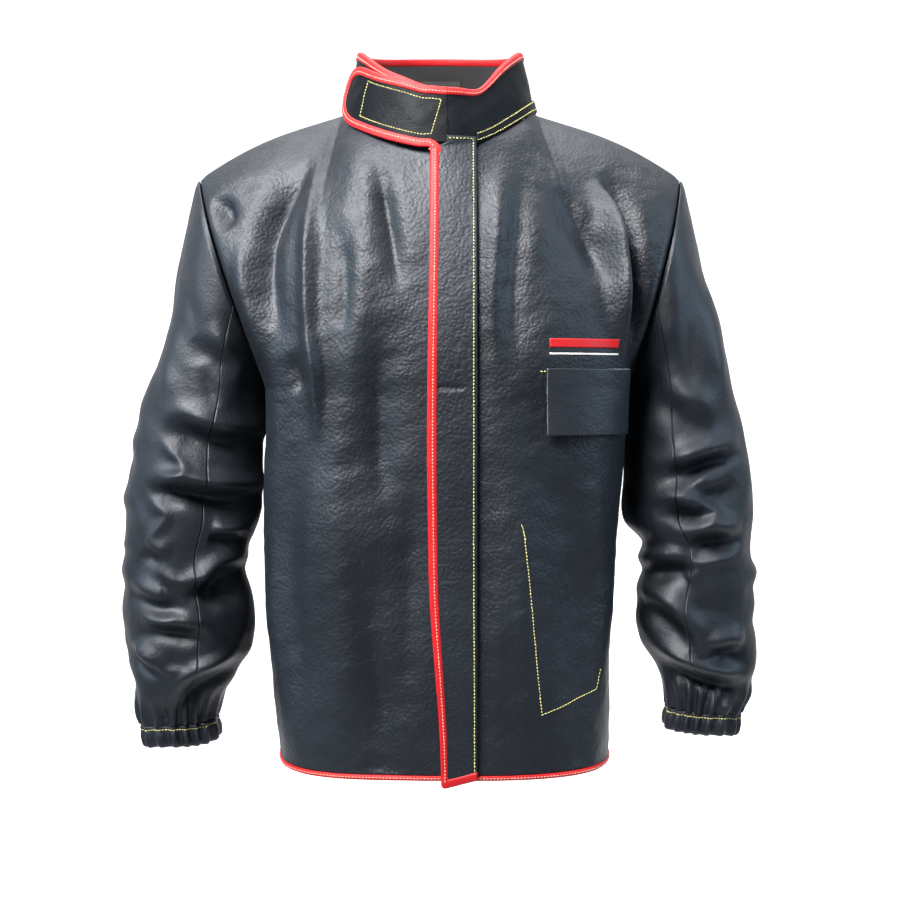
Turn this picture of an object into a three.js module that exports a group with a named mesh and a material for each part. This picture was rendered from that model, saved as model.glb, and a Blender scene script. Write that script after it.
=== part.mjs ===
// Leather welding jacket, shaped as it hangs on a wearer's shoulders.
// Frame: millimetres, +Z up, the front faces -Y and the wearer's left is +X.
// The origin lies between the shoulders at neck level, where a wearer or a hanger carries the jacket.
import * as THREE from "three";

// ---- Driving dimensions ----
const HEM_Z = -650;
const WAIST_Z = -450;
const ARMPIT_Z = -262;
const HEM_HALF_WIDTH = 174;
const WAIST_HALF_WIDTH = 187;
const CHEST_HALF_WIDTH = 193;
const HEM_DEPTH = { front: 142, back: 118 };
const WAIST_DEPTH = { front: 146, back: 118 };
const CHEST_DEPTH = { front: 148, back: 130 };
const CHEST_SQUARENESS = 3.2; // exponent of the superellipse of every body section
const SHOULDER_HALF_WIDTH = 262;
const SHOULDER_TIP_Z = -35;
const ARMHOLE_DEPTH = 68; // half the front-to-back width of the armhole
const NECK_HALF_WIDTH = 104;
const NECK = { frontY: -102, backY: 75, sideY: 8, frontZ: -20, sideZ: 37, backZ: 45 };
const COLLAR_HEIGHT = 66;
const COLLAR_TAPER = 0.85; // size of the collar's top ring over that of the neck seam
const LEATHER = 2.4; // body leather with its seam build-up
const COLLAR_LEATHER = 2;
const BINDING_WIDTH = 9;
const FLAP_WIDTH = 37; // bare leather of the storm flap, without its binding
const FLAP_ROOT_X = 37; // the sewn edge of the storm flap
const FRONT_JOIN_X = 27; // where the two fronts meet under the storm flap
const FLAP_DROP = 4; // how far the storm flap hangs below the hem
const TAB_LENGTH = 138;
const TAB_ROOT = 5; // arc length from the centre front to the tab's sewn edge
const TAPE_WIDTH = 20; // hook and loop tape
const TAPE = 1; // thickness of hook or loop tape
const POCKET_FLAP = { width: 84, height: 66, topZ: -243, sideInset: 12 };
const FACING_WIDTH = 55;
const SLEEVE_SEAM = 0.3; // share of the way round from the top of the sleeve to each sleeve seam
const CUFF_WALL = 1.6;
const ELASTIC = 1.6;
const GAP = 0.4; // clearance between two layers that lie on each other
const SEAM_GAP = 0.5; // clearance between two panels at their common seam
const ARMHOLE_GAP = 0.6; // clearance between a sleeve and the body at the armhole

// Stations of each sleeve from the armhole to the cuff. outer is the outer edge seen from the front,
// as [distance out from the shoulder tip, z]; inner is the inner edge, as [distance clear of the
// body's side, z]; depth is half the front-to-back size.
const RIGHT_SLEEVE = [
  { outer: [24, -147], inner: [4, -276], depth: 72 },
  { outer: [35, -212], inner: [4, -298], depth: 72 },
  { outer: [62, -281], inner: [4, -324], depth: 70 },
  { outer: [74, -350], inner: [4, -362], depth: 68 },
  { outer: [80, -400], inner: [5, -400], depth: 67 },
  { outer: [79, -450], inner: [22, -444], depth: 63 },
  { outer: [80, -510], inner: [17, -502], depth: 62 },
  { outer: [76, -560], inner: [30, -552], depth: 57 },
  { outer: [69, -598], inner: [57, -590], depth: 46 },
  { outer: [62, -622], inner: [69, -616], depth: 39 },
];
const LEFT_SLEEVE = [
  { outer: [24, -140], inner: [4, -276], depth: 72 },
  { outer: [43, -205], inner: [4, -298], depth: 72 },
  { outer: [56, -272], inner: [4, -326], depth: 70 },
  { outer: [72, -338], inner: [5, -364], depth: 68 },
  { outer: [77, -390], inner: [8, -404], depth: 67 },
  { outer: [75, -436], inner: [33, -434], depth: 63 },
  { outer: [77, -490], inner: [27, -494], depth: 62 },
  { outer: [82, -545], inner: [35, -534], depth: 57 },
  { outer: [78, -584], inner: [58, -574], depth: 46 },
  { outer: [64, -610], inner: [65, -604], depth: 39 },
];
const CUFF_LENGTH = 24;

// ---- Materials ----
const material = (color, roughness) => new THREE.MeshStandardMaterial({ color, roughness, metalness: 0 });
const BLACK_LEATHER = material(0x24272a, 0.55);
const RED_BINDING = material(0xe0262c, 0.7);
const HOOK_TAPE = material(0x131415, 0.9);
const LOOP_TAPE = material(0x1b1c1e, 0.95);
const ELASTIC_BAND = material(0x1f1f20, 0.9);
const POCKET_CLOTH = material(0x2c2d30, 0.9);
const LABEL_CLOTH = material(0xd8d8d4, 0.9);

// ---- Curves and small maths ----
const vec = (x, y, z) => new THREE.Vector3(x, y, z);
const mix = THREE.MathUtils.lerp;
const QUARTER = Math.PI / 2;
const RIGHT = -1;
const LEFT = 1;
const FRONT = -1;
const BACK = 1;

function steps(count, from = 0, to = 1) {
  return Array.from({ length: count + 1 }, (_, i) => mix(from, to, i / count));
}

function bezier(t, a, b, c, d) {
  const s = 1 - t;
  return vec(0, 0, 0)
    .addScaledVector(a, s * s * s)
    .addScaledVector(b, 3 * s * s * t)
    .addScaledVector(c, 3 * s * t * t)
    .addScaledVector(d, t * t * t);
}

// A smooth value through equally spaced entries of a list, t running from 0 to 1.
function along(list, t) {
  const at = THREE.MathUtils.clamp(t, 0, 1) * (list.length - 1);
  const i = Math.min(Math.floor(at), list.length - 2);
  const f = at - i;
  const before = list[Math.max(i - 1, 0)];
  const after = list[Math.min(i + 2, list.length - 1)];
  const rise = (list[i + 1] - before) / 2;
  const fall = (after - list[i]) / 2;
  const f2 = f * f;
  const f3 = f2 * f;
  return (2 * f3 - 3 * f2 + 1) * list[i] + (f3 - 2 * f2 + f) * rise +
    (3 * f2 - 2 * f3) * list[i + 1] + (f3 - f2) * fall;
}

function solve(value, low, high, measure) {
  for (let i = 0; i < 26; i++) {
    const middle = (low + high) / 2;
    if (measure(middle) < value) low = middle;
    else high = middle;
  }
  return (low + high) / 2;
}

// ---- The body's surface ----
// u runs from the centre front or back (0) to the side seam and armhole (1).
// v runs from the hem (0) to the armpit (1), and on to the neck and shoulder seam (2).
const NECK_SHARE = 0.42; // the part of u that the neck takes on the top row
const SHIFT = [5, 0, 8]; // the body hangs a little to the left between the hem and the armpit

function bodyRow(side, face, u, t) {
  const depth = (d) => (face === FRONT ? d.front : d.back);
  const halfWidth = along([HEM_HALF_WIDTH, WAIST_HALF_WIDTH, CHEST_HALF_WIDTH], t);
  const halfDepth = along([depth(HEM_DEPTH), depth(WAIST_DEPTH), depth(CHEST_DEPTH)], t);
  const power = 2 / CHEST_SQUARENESS;
  const x = halfWidth * Math.sin(u * QUARTER) ** power;
  const y = halfDepth * Math.max(Math.cos(u * QUARTER), 0) ** power;
  return vec(along(SHIFT, t) + side * x, face * y, along([HEM_Z, WAIST_Z, ARMPIT_Z], t));
}

// The neck seam by angle: 0 at the centre front, positive towards the wearer's left.
function neckSeam(angle) {
  const front = Math.cos(angle) > 0;
  const c = Math.cos(angle);
  const y = NECK.sideY + (front ? NECK.frontY - NECK.sideY : NECK.sideY - NECK.backY) * c;
  const z = NECK.sideZ + ((front ? NECK.frontZ : NECK.backZ) - NECK.sideZ) * c * c;
  return vec(NECK_HALF_WIDTH * Math.sin(angle), y, z);
}

const shoulderTip = (side) => vec(side * SHOULDER_HALF_WIDTH, 0, SHOULDER_TIP_Z);
const armpit = (side) => bodyRow(side, FRONT, 1, 1);

function topRow(side, face, u) {
  if (u < NECK_SHARE) {
    const angle = (u / NECK_SHARE) * QUARTER;
    return neckSeam(side * (face === FRONT ? angle : Math.PI - angle));
  }
  return neckSeam(side * QUARTER).lerp(shoulderTip(side), (u - NECK_SHARE) / (1 - NECK_SHARE));
}

function body(side, face, u, v) {
  if (v <= 1) return bodyRow(side, face, u, v);
  const lower = bodyRow(side, face, u, 1);
  const upper = topRow(side, face, u);
  const rim = shoulderTip(side).sub(armpit(side)).multiplyScalar(0.25);
  const out = vec(0, face * ARMHOLE_DEPTH * 4 / 3, 0);
  const towardsRim = u ** 3;
  const fromHem = vec(0, face * 4, 90).lerp(rim.clone().add(out), towardsRim);
  const neckDrop = vec(0, face * 28, -75);
  const shoulderDrop = vec(side * 4, face * 84, -30);
  const rimDrop = rim.clone().negate().add(out);
  const fromTop = neckDrop.lerp(shoulderDrop, Math.min(u / NECK_SHARE, 1) ** 2).lerp(rimDrop, towardsRim);
  return bezier(v - 1, lower, fromHem.add(lower), fromTop.add(upper), upper);
}

// The direction into the body at a point of its surface, the same for all pieces that meet there.
function inward(p) {
  const sink = 60 * THREE.MathUtils.smoothstep(p.z, ARMPIT_Z + 100, NECK.sideZ);
  return vec(-0.3 * p.x, -p.y, -sink).normalize();
}

const lift = (p, out) => p.clone().addScaledVector(inward(p), -out);

// The point of the front surface at a given x and z, raised by out.
function onFront(x, z, out = 0) {
  const side = x >= along(SHIFT, 1) ? LEFT : RIGHT;
  let u = 0.5;
  let v = 1;
  for (let i = 0; i < 14; i++) {
    v = solve(z, 0, 2, (k) => body(side, FRONT, u, k).z);
    u = solve(side * x, 0, 1, (k) => side * body(side, FRONT, k, v).x);
  }
  return lift(body(side, FRONT, u, v), out);
}

// The collar's surface: angle as in neckSeam, k from the neck seam (0) to the top edge (1).
function collar(angle, k, out = 0) {
  const seam = neckSeam(angle);
  const taper = mix(1, COLLAR_TAPER, k);
  const p = vec(seam.x * taper, NECK.sideY + (seam.y - NECK.sideY) * taper, seam.z + COLLAR_HEIGHT * k);
  const away = vec(p.x, p.y, 0).normalize();
  return p.addScaledVector(away, out);
}

// ---- Closed solids from rows of points ----
// Each ring is one closed loop of points. A closed loft joins its last ring to its first, and an
// open one is closed at both ends by rungs between the two halves of the ring.
function loft(rings, closed = false) {
  const size = rings[0].length;
  const positions = rings.flat().flatMap((p) => [p.x, p.y, p.z]);
  const index = [];
  const joins = closed ? rings.length : rings.length - 1;
  for (let i = 0; i < joins; i++) {
    const a = i * size;
    const b = ((i + 1) % rings.length) * size;
    for (let j = 0; j < size; j++) {
      const k = (j + 1) % size;
      index.push(a + j, b + j, b + k, a + j, b + k, a + k);
    }
  }
  if (!closed) {
    const end = (rings.length - 1) * size;
    for (let j = 0; j < size / 2 - 1; j++) {
      const far = size - 1 - j;
      index.push(j, j + 1, far - 1, j, far - 1, far);
      index.push(end + far - 1, end + j + 1, end + j, end + far, end + far - 1, end + j);
    }
  }
  const geometry = new THREE.BufferGeometry();
  geometry.setAttribute("position", new THREE.Float32BufferAttribute(positions, 3));
  geometry.setIndex(signedVolume(positions, index) < 0 ? index.reverse() : index);
  geometry.computeVertexNormals();
  return geometry;
}

function signedVolume(positions, index) {
  const corner = (i) => vec().fromArray(positions, 3 * i);
  let volume = 0;
  for (let i = 0; i < index.length; i += 3) {
    volume += corner(index[i]).dot(corner(index[i + 1]).cross(corner(index[i + 2])));
  }
  return volume;
}

// A slab between two surfaces: point(a, b, layer) with layer 1 for the outer face and 0 for the inner.
function slab(as, bs, point, closed = false) {
  return loft(as.map((a) => [
    ...bs.map((b) => point(a, b, 1)),
    ...bs.toReversed().map((b) => point(a, b, 0)),
  ]), closed);
}

// A strip of the given width along the inside of an open outline of 2-D points.
function border(outline, width, surface, low, high) {
  const inner = outline.map((p, i) => {
    const before = outline[Math.max(i - 1, 0)];
    const after = outline[Math.min(i + 1, outline.length - 1)];
    const first = p.clone().sub(before).normalize();
    const second = after.clone().sub(p).normalize();
    const tangent = first.add(second).normalize();
    const next = after.clone().sub(i < outline.length - 1 ? p : before).normalize();
    const mitre = Math.max(Math.abs(tangent.dot(next)), 0.5);
    return vec(-tangent.y, tangent.x, 0).multiplyScalar(width / mitre).add(vec(p.x, p.y, 0));
  });
  return loft(outline.map((p, i) => {
    const across = [p, inner[i]];
    return [
      ...across.map((q) => surface(q.x, q.y, high)),
      ...across.toReversed().map((q) => surface(q.x, q.y, low)),
    ];
  }));
}

// ---- The assembly ----
const jacket = new THREE.Group();
jacket.name = "leather_welding_jacket";

function add(name, geometry, look) {
  const mesh = new THREE.Mesh(geometry, look);
  mesh.name = name;
  jacket.add(mesh);
}

// ---- Body panels ----
// The front that reaches past the centre is cut along a line of constant x.
const rowAt = (z) => solve(z, 0, 1, (v) => bodyRow(LEFT, FRONT, 1, v).z);
const HEM_START = rowAt(HEM_Z + BINDING_WIDTH + SEAM_GAP);
const SIDE_EDGE = 1 - SEAM_GAP / CHEST_HALF_WIDTH / QUARTER;
const TOP_EDGE = 2 - SEAM_GAP / 150;
const YOKE_SEAM = 1.55;
const PANEL_ROWS = [...steps(6, HEM_START, 1), ...steps(8, 1, TOP_EDGE).slice(1)];

function uAt(side, v, x) {
  return solve(side * x, 0, 1, (u) => side * body(side, FRONT, u, v).x);
}

function frontPanel(side) {
  const joinX = FRONT_JOIN_X + (side * SEAM_GAP) / 2;
  const columns = steps(14);
  return slab(columns, PANEL_ROWS, (a, v, layer) => {
    const start = uAt(LEFT, v, joinX);
    const from = side === LEFT ? start : -start;
    const u = mix(from, SIDE_EDGE, a);
    const p = u < 0 ? body(LEFT, FRONT, -u, v) : body(side, FRONT, u, v);
    return layer ? p : lift(p, -LEATHER);
  });
}

add("right_front_panel", frontPanel(RIGHT), BLACK_LEATHER);
add("left_front_panel", frontPanel(LEFT), BLACK_LEATHER);

function backPiece(rows) {
  return slab(steps(24, -SIDE_EDGE, SIDE_EDGE), rows, (u, v, layer) => {
    const p = body(u < 0 ? RIGHT : LEFT, BACK, Math.abs(u), v);
    return layer ? p : lift(p, -LEATHER);
  });
}

add("back_panel", backPiece([...steps(6, HEM_START, 1), ...steps(4, 1, YOKE_SEAM).slice(1)]), BLACK_LEATHER);
add("back_yoke", backPiece(steps(4, YOKE_SEAM + SEAM_GAP / 150, TOP_EDGE)), BLACK_LEATHER);

// Facings inside the front edges.
function frontFacing(side) {
  const edge = FRONT_JOIN_X + side * 1.5;
  const top = NECK.frontZ - 16;
  return slab(steps(3, edge, edge + side * FACING_WIDTH), steps(12, HEM_Z + BINDING_WIDTH + 4, top),
    (x, z, layer) => onFront(x, z, -(LEATHER + GAP + 0.6 + (layer ? 0 : 1.2))));
}

add("right_front_facing", frontFacing(RIGHT), BLACK_LEATHER);
add("left_front_facing", frontFacing(LEFT), BLACK_LEATHER);

// The red binding round the hem: from the right front edge, round the back, to the left front edge.
function hemBinding() {
  const wrap = [
    ...steps(4, uAt(LEFT, 0, FRONT_JOIN_X - 2), 0.001).map((u) => [LEFT, FRONT, u]),
    ...steps(12, 0.03, 1).map((u) => [RIGHT, FRONT, u]),
    ...steps(12, 0.97, 0).map((u) => [RIGHT, BACK, u]),
    ...steps(12, 0.03, 1).map((u) => [LEFT, BACK, u]),
    ...steps(12, 0.97, uAt(LEFT, 0, FRONT_JOIN_X + 2)).map((u) => [LEFT, FRONT, u]),
  ];
  const top = rowAt(HEM_Z + BINDING_WIDTH);
  return slab(wrap, [0, top], ([side, face, u], v, layer) => lift(body(side, face, u, v), layer ? 0.4 : -LEATHER - 0.4));
}

add("hem_binding", hemBinding(), RED_BINDING);

// ---- Sleeves ----
function sleeveStations(side) {
  const list = (side === LEFT ? LEFT_SLEEVE : RIGHT_SLEEVE).map(({ outer, inner, depth }) => ({
    outer: [SHOULDER_HALF_WIDTH + outer[0], outer[1]],
    inner: [side * bodyRow(side, FRONT, 1, rowAt(inner[1])).x + inner[0], inner[1]],
    depth,
  }));
  const tip = shoulderTip(side);
  const pit = armpit(side);
  const away = vec(tip.z - pit.z, 0, pit.x - tip.x).multiplyScalar(side).normalize();
  if (away.x * side < 0) away.negate();
  away.multiplyScalar(ARMHOLE_GAP);
  const rim = {
    outer: [side * (tip.x + away.x), tip.z + away.z],
    inner: [side * (pit.x + away.x), pit.z + away.z],
    depth: ARMHOLE_DEPTH,
  };
  return [rim, ...list];
}

const STATIONS = { [RIGHT]: sleeveStations(RIGHT), [LEFT]: sleeveStations(LEFT) };

// The sleeve's section at s (0 armhole, 1 cuff seam): the outer and inner edge and the depth.
function section(side, s) {
  const list = STATIONS[side];
  const value = (pick) => along(list.map(pick), s);
  return {
    outer: vec(side * value((q) => q.outer[0]), 0, value((q) => q.outer[1])),
    inner: vec(side * value((q) => q.inner[0]), 0, value((q) => q.inner[1])),
    depth: value((q) => q.depth),
    point: mix(0.25, 0.04, Math.min(s * 4, 1)), // how far the section's ends are drawn to a point
  };
}

// w runs once round: 0 at the outer edge, 0.25 front, 0.5 at the inner edge, 0.75 back.
function ringPoint({ outer, inner, depth, point }, w) {
  const turn = ((w % 1) + 1) % 1;
  const face = turn < 0.5 ? FRONT : BACK;
  const t = turn < 0.5 ? turn * 2 : 2 - turn * 2;
  const out = vec(0, (face * depth * 4) / 3, 0);
  const step = inner.clone().sub(outer).multiplyScalar(point);
  return bezier(t, outer, outer.clone().add(step).add(out), inner.clone().sub(step).add(out), inner);
}

function sleevePoint(side, s, w, depth) {
  const ring = section(side, s);
  const p = ringPoint(ring, w);
  const centre = ring.outer.clone().add(ring.inner).multiplyScalar(0.5);
  return p.addScaledVector(centre.sub(p).normalize(), depth);
}

function sleevePanel(side, from, to, columns) {
  return slab(steps(columns, from, to), steps(16), (w, s, layer) => sleevePoint(side, s, w, layer ? 0 : LEATHER));
}

// The cuff: a folded leather channel that holds the elastic.
function cuffRing(side, drop) {
  const ring = section(side, 1);
  const down = vec(-side * 0.16, 0, -1).normalize().multiplyScalar(drop);
  const shrink = 1 - 0.03 * (drop / CUFF_LENGTH);
  const centre = ring.outer.clone().add(ring.inner).multiplyScalar(0.5);
  const squeeze = (p) => p.clone().sub(centre).multiplyScalar(shrink).add(centre).add(down);
  return { ...ring, outer: squeeze(ring.outer), inner: squeeze(ring.inner), depth: ring.depth * shrink };
}

function cuffBand(side, profile) {
  const around = steps(24).slice(0, -1);
  return loft(around.map((w) => profile.map(([drop, depth]) => {
    const ring = cuffRing(side, drop);
    const centre = ring.outer.clone().add(ring.inner).multiplyScalar(0.5);
    const p = ringPoint(ring, w);
    return p.addScaledVector(centre.sub(p).normalize(), depth);
  })), true);
}

const CHANNEL = ELASTIC + 2 * GAP;
const CUFF_TOP = SEAM_GAP + 0.3;
const casingProfile = [
  [CUFF_TOP, 0],
  [CUFF_LENGTH, 0],
  [CUFF_LENGTH, 2 * CUFF_WALL + CHANNEL],
  [CUFF_TOP, 2 * CUFF_WALL + CHANNEL],
  [CUFF_TOP, CUFF_WALL + CHANNEL],
  [CUFF_LENGTH - CUFF_WALL, CUFF_WALL + CHANNEL],
  [CUFF_LENGTH - CUFF_WALL, CUFF_WALL],
  [CUFF_TOP, CUFF_WALL],
];
const elasticProfile = [
  [CUFF_TOP + 2, CUFF_WALL + GAP],
  [CUFF_LENGTH - CUFF_WALL - GAP, CUFF_WALL + GAP],
  [CUFF_LENGTH - CUFF_WALL - GAP, CUFF_WALL + GAP + ELASTIC],
  [CUFF_TOP + 2, CUFF_WALL + GAP + ELASTIC],
];

for (const [side, name] of [[RIGHT, "right"], [LEFT, "left"]]) {
  const gap = 0.0012;
  add(`${name}_upper_sleeve`, sleevePanel(side, -SLEEVE_SEAM, SLEEVE_SEAM, 10), BLACK_LEATHER);
  add(`${name}_under_sleeve`, sleevePanel(side, SLEEVE_SEAM + gap, 1 - SLEEVE_SEAM - gap, 8), BLACK_LEATHER);
  add(`${name}_cuff_casing`, cuffBand(side, casingProfile), BLACK_LEATHER);
  add(`${name}_cuff_elastic`, cuffBand(side, elasticProfile), ELASTIC_BAND);
}

// ---- Collar ----
const COLLAR_BASE = GAP / COLLAR_HEIGHT; // share of the collar's height left clear at the neck seam
const COLLAR_EDGE = 1 - BINDING_WIDTH / COLLAR_HEIGHT;
const EDGE_GAP = SEAM_GAP / COLLAR_HEIGHT;
const arcAngle = (arc) => arc / ((NECK_HALF_WIDTH + Math.abs(NECK.frontY)) / 2);
const COLLAR_START = arcAngle(TAB_ROOT);
const COLLAR_END = 2 * Math.PI - arcAngle(2);

function collarLayer(from, to, low, high, inner, outer) {
  return slab(steps(34, from, to), steps(2, low, high), (angle, k, layer) => collar(angle, k, layer ? outer : inner));
}

const facingOut = -COLLAR_LEATHER - GAP;
add("collar_stand", collarLayer(COLLAR_START, COLLAR_END, COLLAR_BASE, COLLAR_EDGE - EDGE_GAP,
  -COLLAR_LEATHER, 0), BLACK_LEATHER);
add("collar_facing", collarLayer(COLLAR_START, COLLAR_END, COLLAR_BASE, COLLAR_EDGE - EDGE_GAP,
  facingOut - 1.5, facingOut), BLACK_LEATHER);
add("collar_binding", collarLayer(COLLAR_START, COLLAR_END, COLLAR_EDGE, 1,
  facingOut - 1.9, 0.4), RED_BINDING);
add("collar_seam_band", collarLayer(arcAngle(FLAP_ROOT_X + 1), COLLAR_END - arcAngle(45), 0.06, 0.18,
  2 * GAP, 2 * GAP + 1.4), BLACK_LEATHER);

// The tab at the collar's front: it carries on from the collar's left end and laps the right end.
// Its 2-D frame is the arc length to the wearer's right and the height above the neck seam.
const TAB_LOW = 2 * GAP + TAPE + GAP + TAPE + GAP + 0.8;
const TAB_HIGH = TAB_LOW + COLLAR_LEATHER;
const TAB_RADIUS = COLLAR_HEIGHT * 0.36;
const tabSurface = (arc, height, out) => collar(-arcAngle(arc), height / COLLAR_HEIGHT, out);

// Half the height of a round-ended strip at a distance from its end.
function endHalfHeight(halfHeight, radius, toEnd) {
  const into = Math.max(radius - toEnd, 0);
  return halfHeight - radius + Math.sqrt(Math.max(radius * radius - into * into, 0));
}

const tabFoot = 2;
const tabMiddle = (COLLAR_HEIGHT + tabFoot) / 2;
const tabHalf = (COLLAR_HEIGHT - tabFoot) / 2;
const tabEnd = TAB_LENGTH - TAB_ROOT;
const innerHalf = tabHalf - BINDING_WIDTH - SEAM_GAP;
const innerEnd = tabEnd - BINDING_WIDTH - SEAM_GAP;
const innerRadius = TAB_RADIUS - BINDING_WIDTH;

const tabColumns = [...steps(12, -TAB_ROOT + 1, innerEnd - innerRadius), ...[0.5, 0.8, 1].map((f) => innerEnd - innerRadius * (1 - f))];
add("collar_tab", slab(tabColumns, steps(4, -1, 1), (arc, h, layer) => {
  const half = endHalfHeight(innerHalf, innerRadius, innerEnd - arc);
  return tabSurface(arc, tabMiddle + h * half, layer ? TAB_HIGH : TAB_LOW);
}), BLACK_LEATHER);

const point2 = (x, y) => new THREE.Vector2(x, y);
function tabOutline() {
  const straight = tabEnd - TAB_RADIUS;
  const top = tabMiddle + tabHalf - TAB_RADIUS;
  const bottom = tabMiddle - tabHalf + TAB_RADIUS;
  const round = (height, from, to) => steps(5, from, to).map((a) =>
    point2(straight + TAB_RADIUS * Math.sin(a), height + TAB_RADIUS * Math.cos(a)));
  return [
    ...steps(10, -TAB_ROOT + 1, straight).slice(0, -1).map((x) => point2(x, tabMiddle + tabHalf)),
    ...round(top, 0, QUARTER),
    ...round(bottom, QUARTER, 2 * QUARTER),
    ...steps(8, straight, 6).slice(1).map((x) => point2(x, tabMiddle - tabHalf)),
  ];
}

add("tab_binding", border(tabOutline().reverse(), BINDING_WIDTH, tabSurface, TAB_LOW - 0.3, TAB_HIGH + 0.4), RED_BINDING);

function tabTape(low, high, from, to) {
  return slab(steps(6, from, to), [-1, 1], (arc, h, layer) => tabSurface(arc, tabMiddle + h * 16, layer ? high : low));
}

add("collar_loop_patch", tabTape(2 * GAP, 2 * GAP + TAPE, 14, 100), LOOP_TAPE);
add("tab_hook_patch", tabTape(TAB_LOW - GAP - TAPE, TAB_LOW - GAP, 18, 88), HOOK_TAPE);

// ---- Storm flap ----
const FLAP_LOW = 3 * GAP + TAPE + GAP + TAPE + GAP;
const FLAP_HIGH = FLAP_LOW + LEATHER;
const FLAP_TOP_Z = NECK.frontZ - 3;
const FLAP_BOTTOM_Z = HEM_Z - FLAP_DROP;
const freeX = FLAP_ROOT_X - FLAP_WIDTH;

// The front surface carried on a little below the hem.
function flapSurface(x, z, out) {
  const below = Math.min(z - HEM_Z, 0);
  return onFront(x, z - below, out).add(vec(0, 0, below));
}

add("storm_flap", slab(steps(2, freeX + SEAM_GAP, FLAP_ROOT_X),
  steps(18, FLAP_BOTTOM_Z + BINDING_WIDTH + SEAM_GAP, FLAP_TOP_Z),
  (x, z, layer) => flapSurface(x, z, layer ? FLAP_HIGH : FLAP_LOW)), BLACK_LEATHER);

const flapEdge = [
  ...steps(18, FLAP_TOP_Z, FLAP_BOTTOM_Z).map((z) => point2(freeX - BINDING_WIDTH, z)),
  ...steps(3, freeX - BINDING_WIDTH, FLAP_ROOT_X).slice(1).map((x) => point2(x, FLAP_BOTTOM_Z)),
];
add("flap_binding", border(flapEdge, BINDING_WIDTH, flapSurface, FLAP_LOW - 0.3, FLAP_HIGH + 0.4), RED_BINDING);

function frontTape(low, high) {
  const from = freeX + 4;
  return slab([from, from + TAPE_WIDTH], steps(12, HEM_Z + 40, FLAP_TOP_Z - 40),
    (x, z, layer) => onFront(x, z, layer ? high : low));
}

add("front_loop_strip", frontTape(3 * GAP, 3 * GAP + TAPE), LOOP_TAPE);
add("flap_hook_strip", frontTape(FLAP_LOW - GAP - TAPE, FLAP_LOW - GAP), HOOK_TAPE);

// ---- Breast pocket on the left front ----
const POCKET_LOW = GAP + 2 * TAPE + 2 * GAP + 1;
const pocketOuterX = bodyRow(LEFT, FRONT, 1, 1).x - POCKET_FLAP.sideInset;
const pocketInnerX = pocketOuterX - POCKET_FLAP.width;
const pocketBottomZ = POCKET_FLAP.topZ - POCKET_FLAP.height;

function frontPatch(fromX, toX, lowZ, highZ, low, high, columns = 8) {
  return slab(steps(columns, fromX, toX), steps(4, lowZ, highZ), (x, z, layer) => onFront(x, z, layer ? high : low));
}

add("pocket_flap", frontPatch(pocketInnerX, pocketOuterX, pocketBottomZ, POCKET_FLAP.topZ,
  POCKET_LOW, POCKET_LOW + COLLAR_LEATHER), BLACK_LEATHER);
add("pocket_loop_patch", frontPatch(pocketOuterX - 44, pocketOuterX - 12, pocketBottomZ + 4, pocketBottomZ + 26,
  GAP + 0.4, GAP + 0.4 + TAPE, 5), LOOP_TAPE);
add("pocket_hook_patch", frontPatch(pocketOuterX - 44, pocketOuterX - 12, pocketBottomZ + 4, pocketBottomZ + 26,
  POCKET_LOW - GAP - TAPE, POCKET_LOW - GAP, 5), HOOK_TAPE);
const bagDepth = LEATHER + GAP + 2;
add("breast_pocket_bag", frontPatch(pocketInnerX + 4, pocketOuterX - 6, POCKET_FLAP.topZ - 130, POCKET_FLAP.topZ - 8,
  -bagDepth - 1.2, -bagDepth), POCKET_CLOTH);

// The inner pocket sewn to the back of the left front.
const INNER_POCKET = { fromX: 84, toX: 160, topZ: -396, bottomZ: -568 };
add("inner_pocket_bag", frontPatch(INNER_POCKET.fromX, INNER_POCKET.toX, INNER_POCKET.bottomZ, INNER_POCKET.topZ,
  -bagDepth - 1.4, -bagDepth), BLACK_LEATHER);

// ---- Neck details ----
const behind = facingOut - 1.5 - GAP;
add("size_label", slab(steps(4, Math.PI - 0.26, Math.PI + 0.26), steps(2, 0.18, 0.62),
  (angle, k, layer) => collar(angle, k, layer ? behind : behind - 0.8)), LABEL_CLOTH);

function hangerLoop() {
  const foot = collar(Math.PI, 0.06, behind - 3.6);
  const half = 30;
  const sag = 14;
  const path = new THREE.CatmullRomCurve3([
    vec(-half, foot.y - 3.5, foot.z + 3),
    vec(-half * 0.6, foot.y - 4, foot.z - sag * 0.75),
    vec(0, foot.y - 4.5, foot.z - sag),
    vec(half * 0.6, foot.y - 4, foot.z - sag * 0.75),
    vec(half, foot.y - 3.5, foot.z + 3),
  ]);
  const tape = new THREE.Shape();
  tape.moveTo(-3, -0.7);
  tape.lineTo(3, -0.7);
  tape.lineTo(3, 0.7);
  tape.lineTo(-3, 0.7);
  return new THREE.ExtrudeGeometry(tape, { steps: 16, bevelEnabled: false, extrudePath: path });
}

add("hanger_loop", hangerLoop(), BLACK_LEATHER);

export default jacket;
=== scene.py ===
"""Leather welding jacket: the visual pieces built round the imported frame."""
import math

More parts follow.
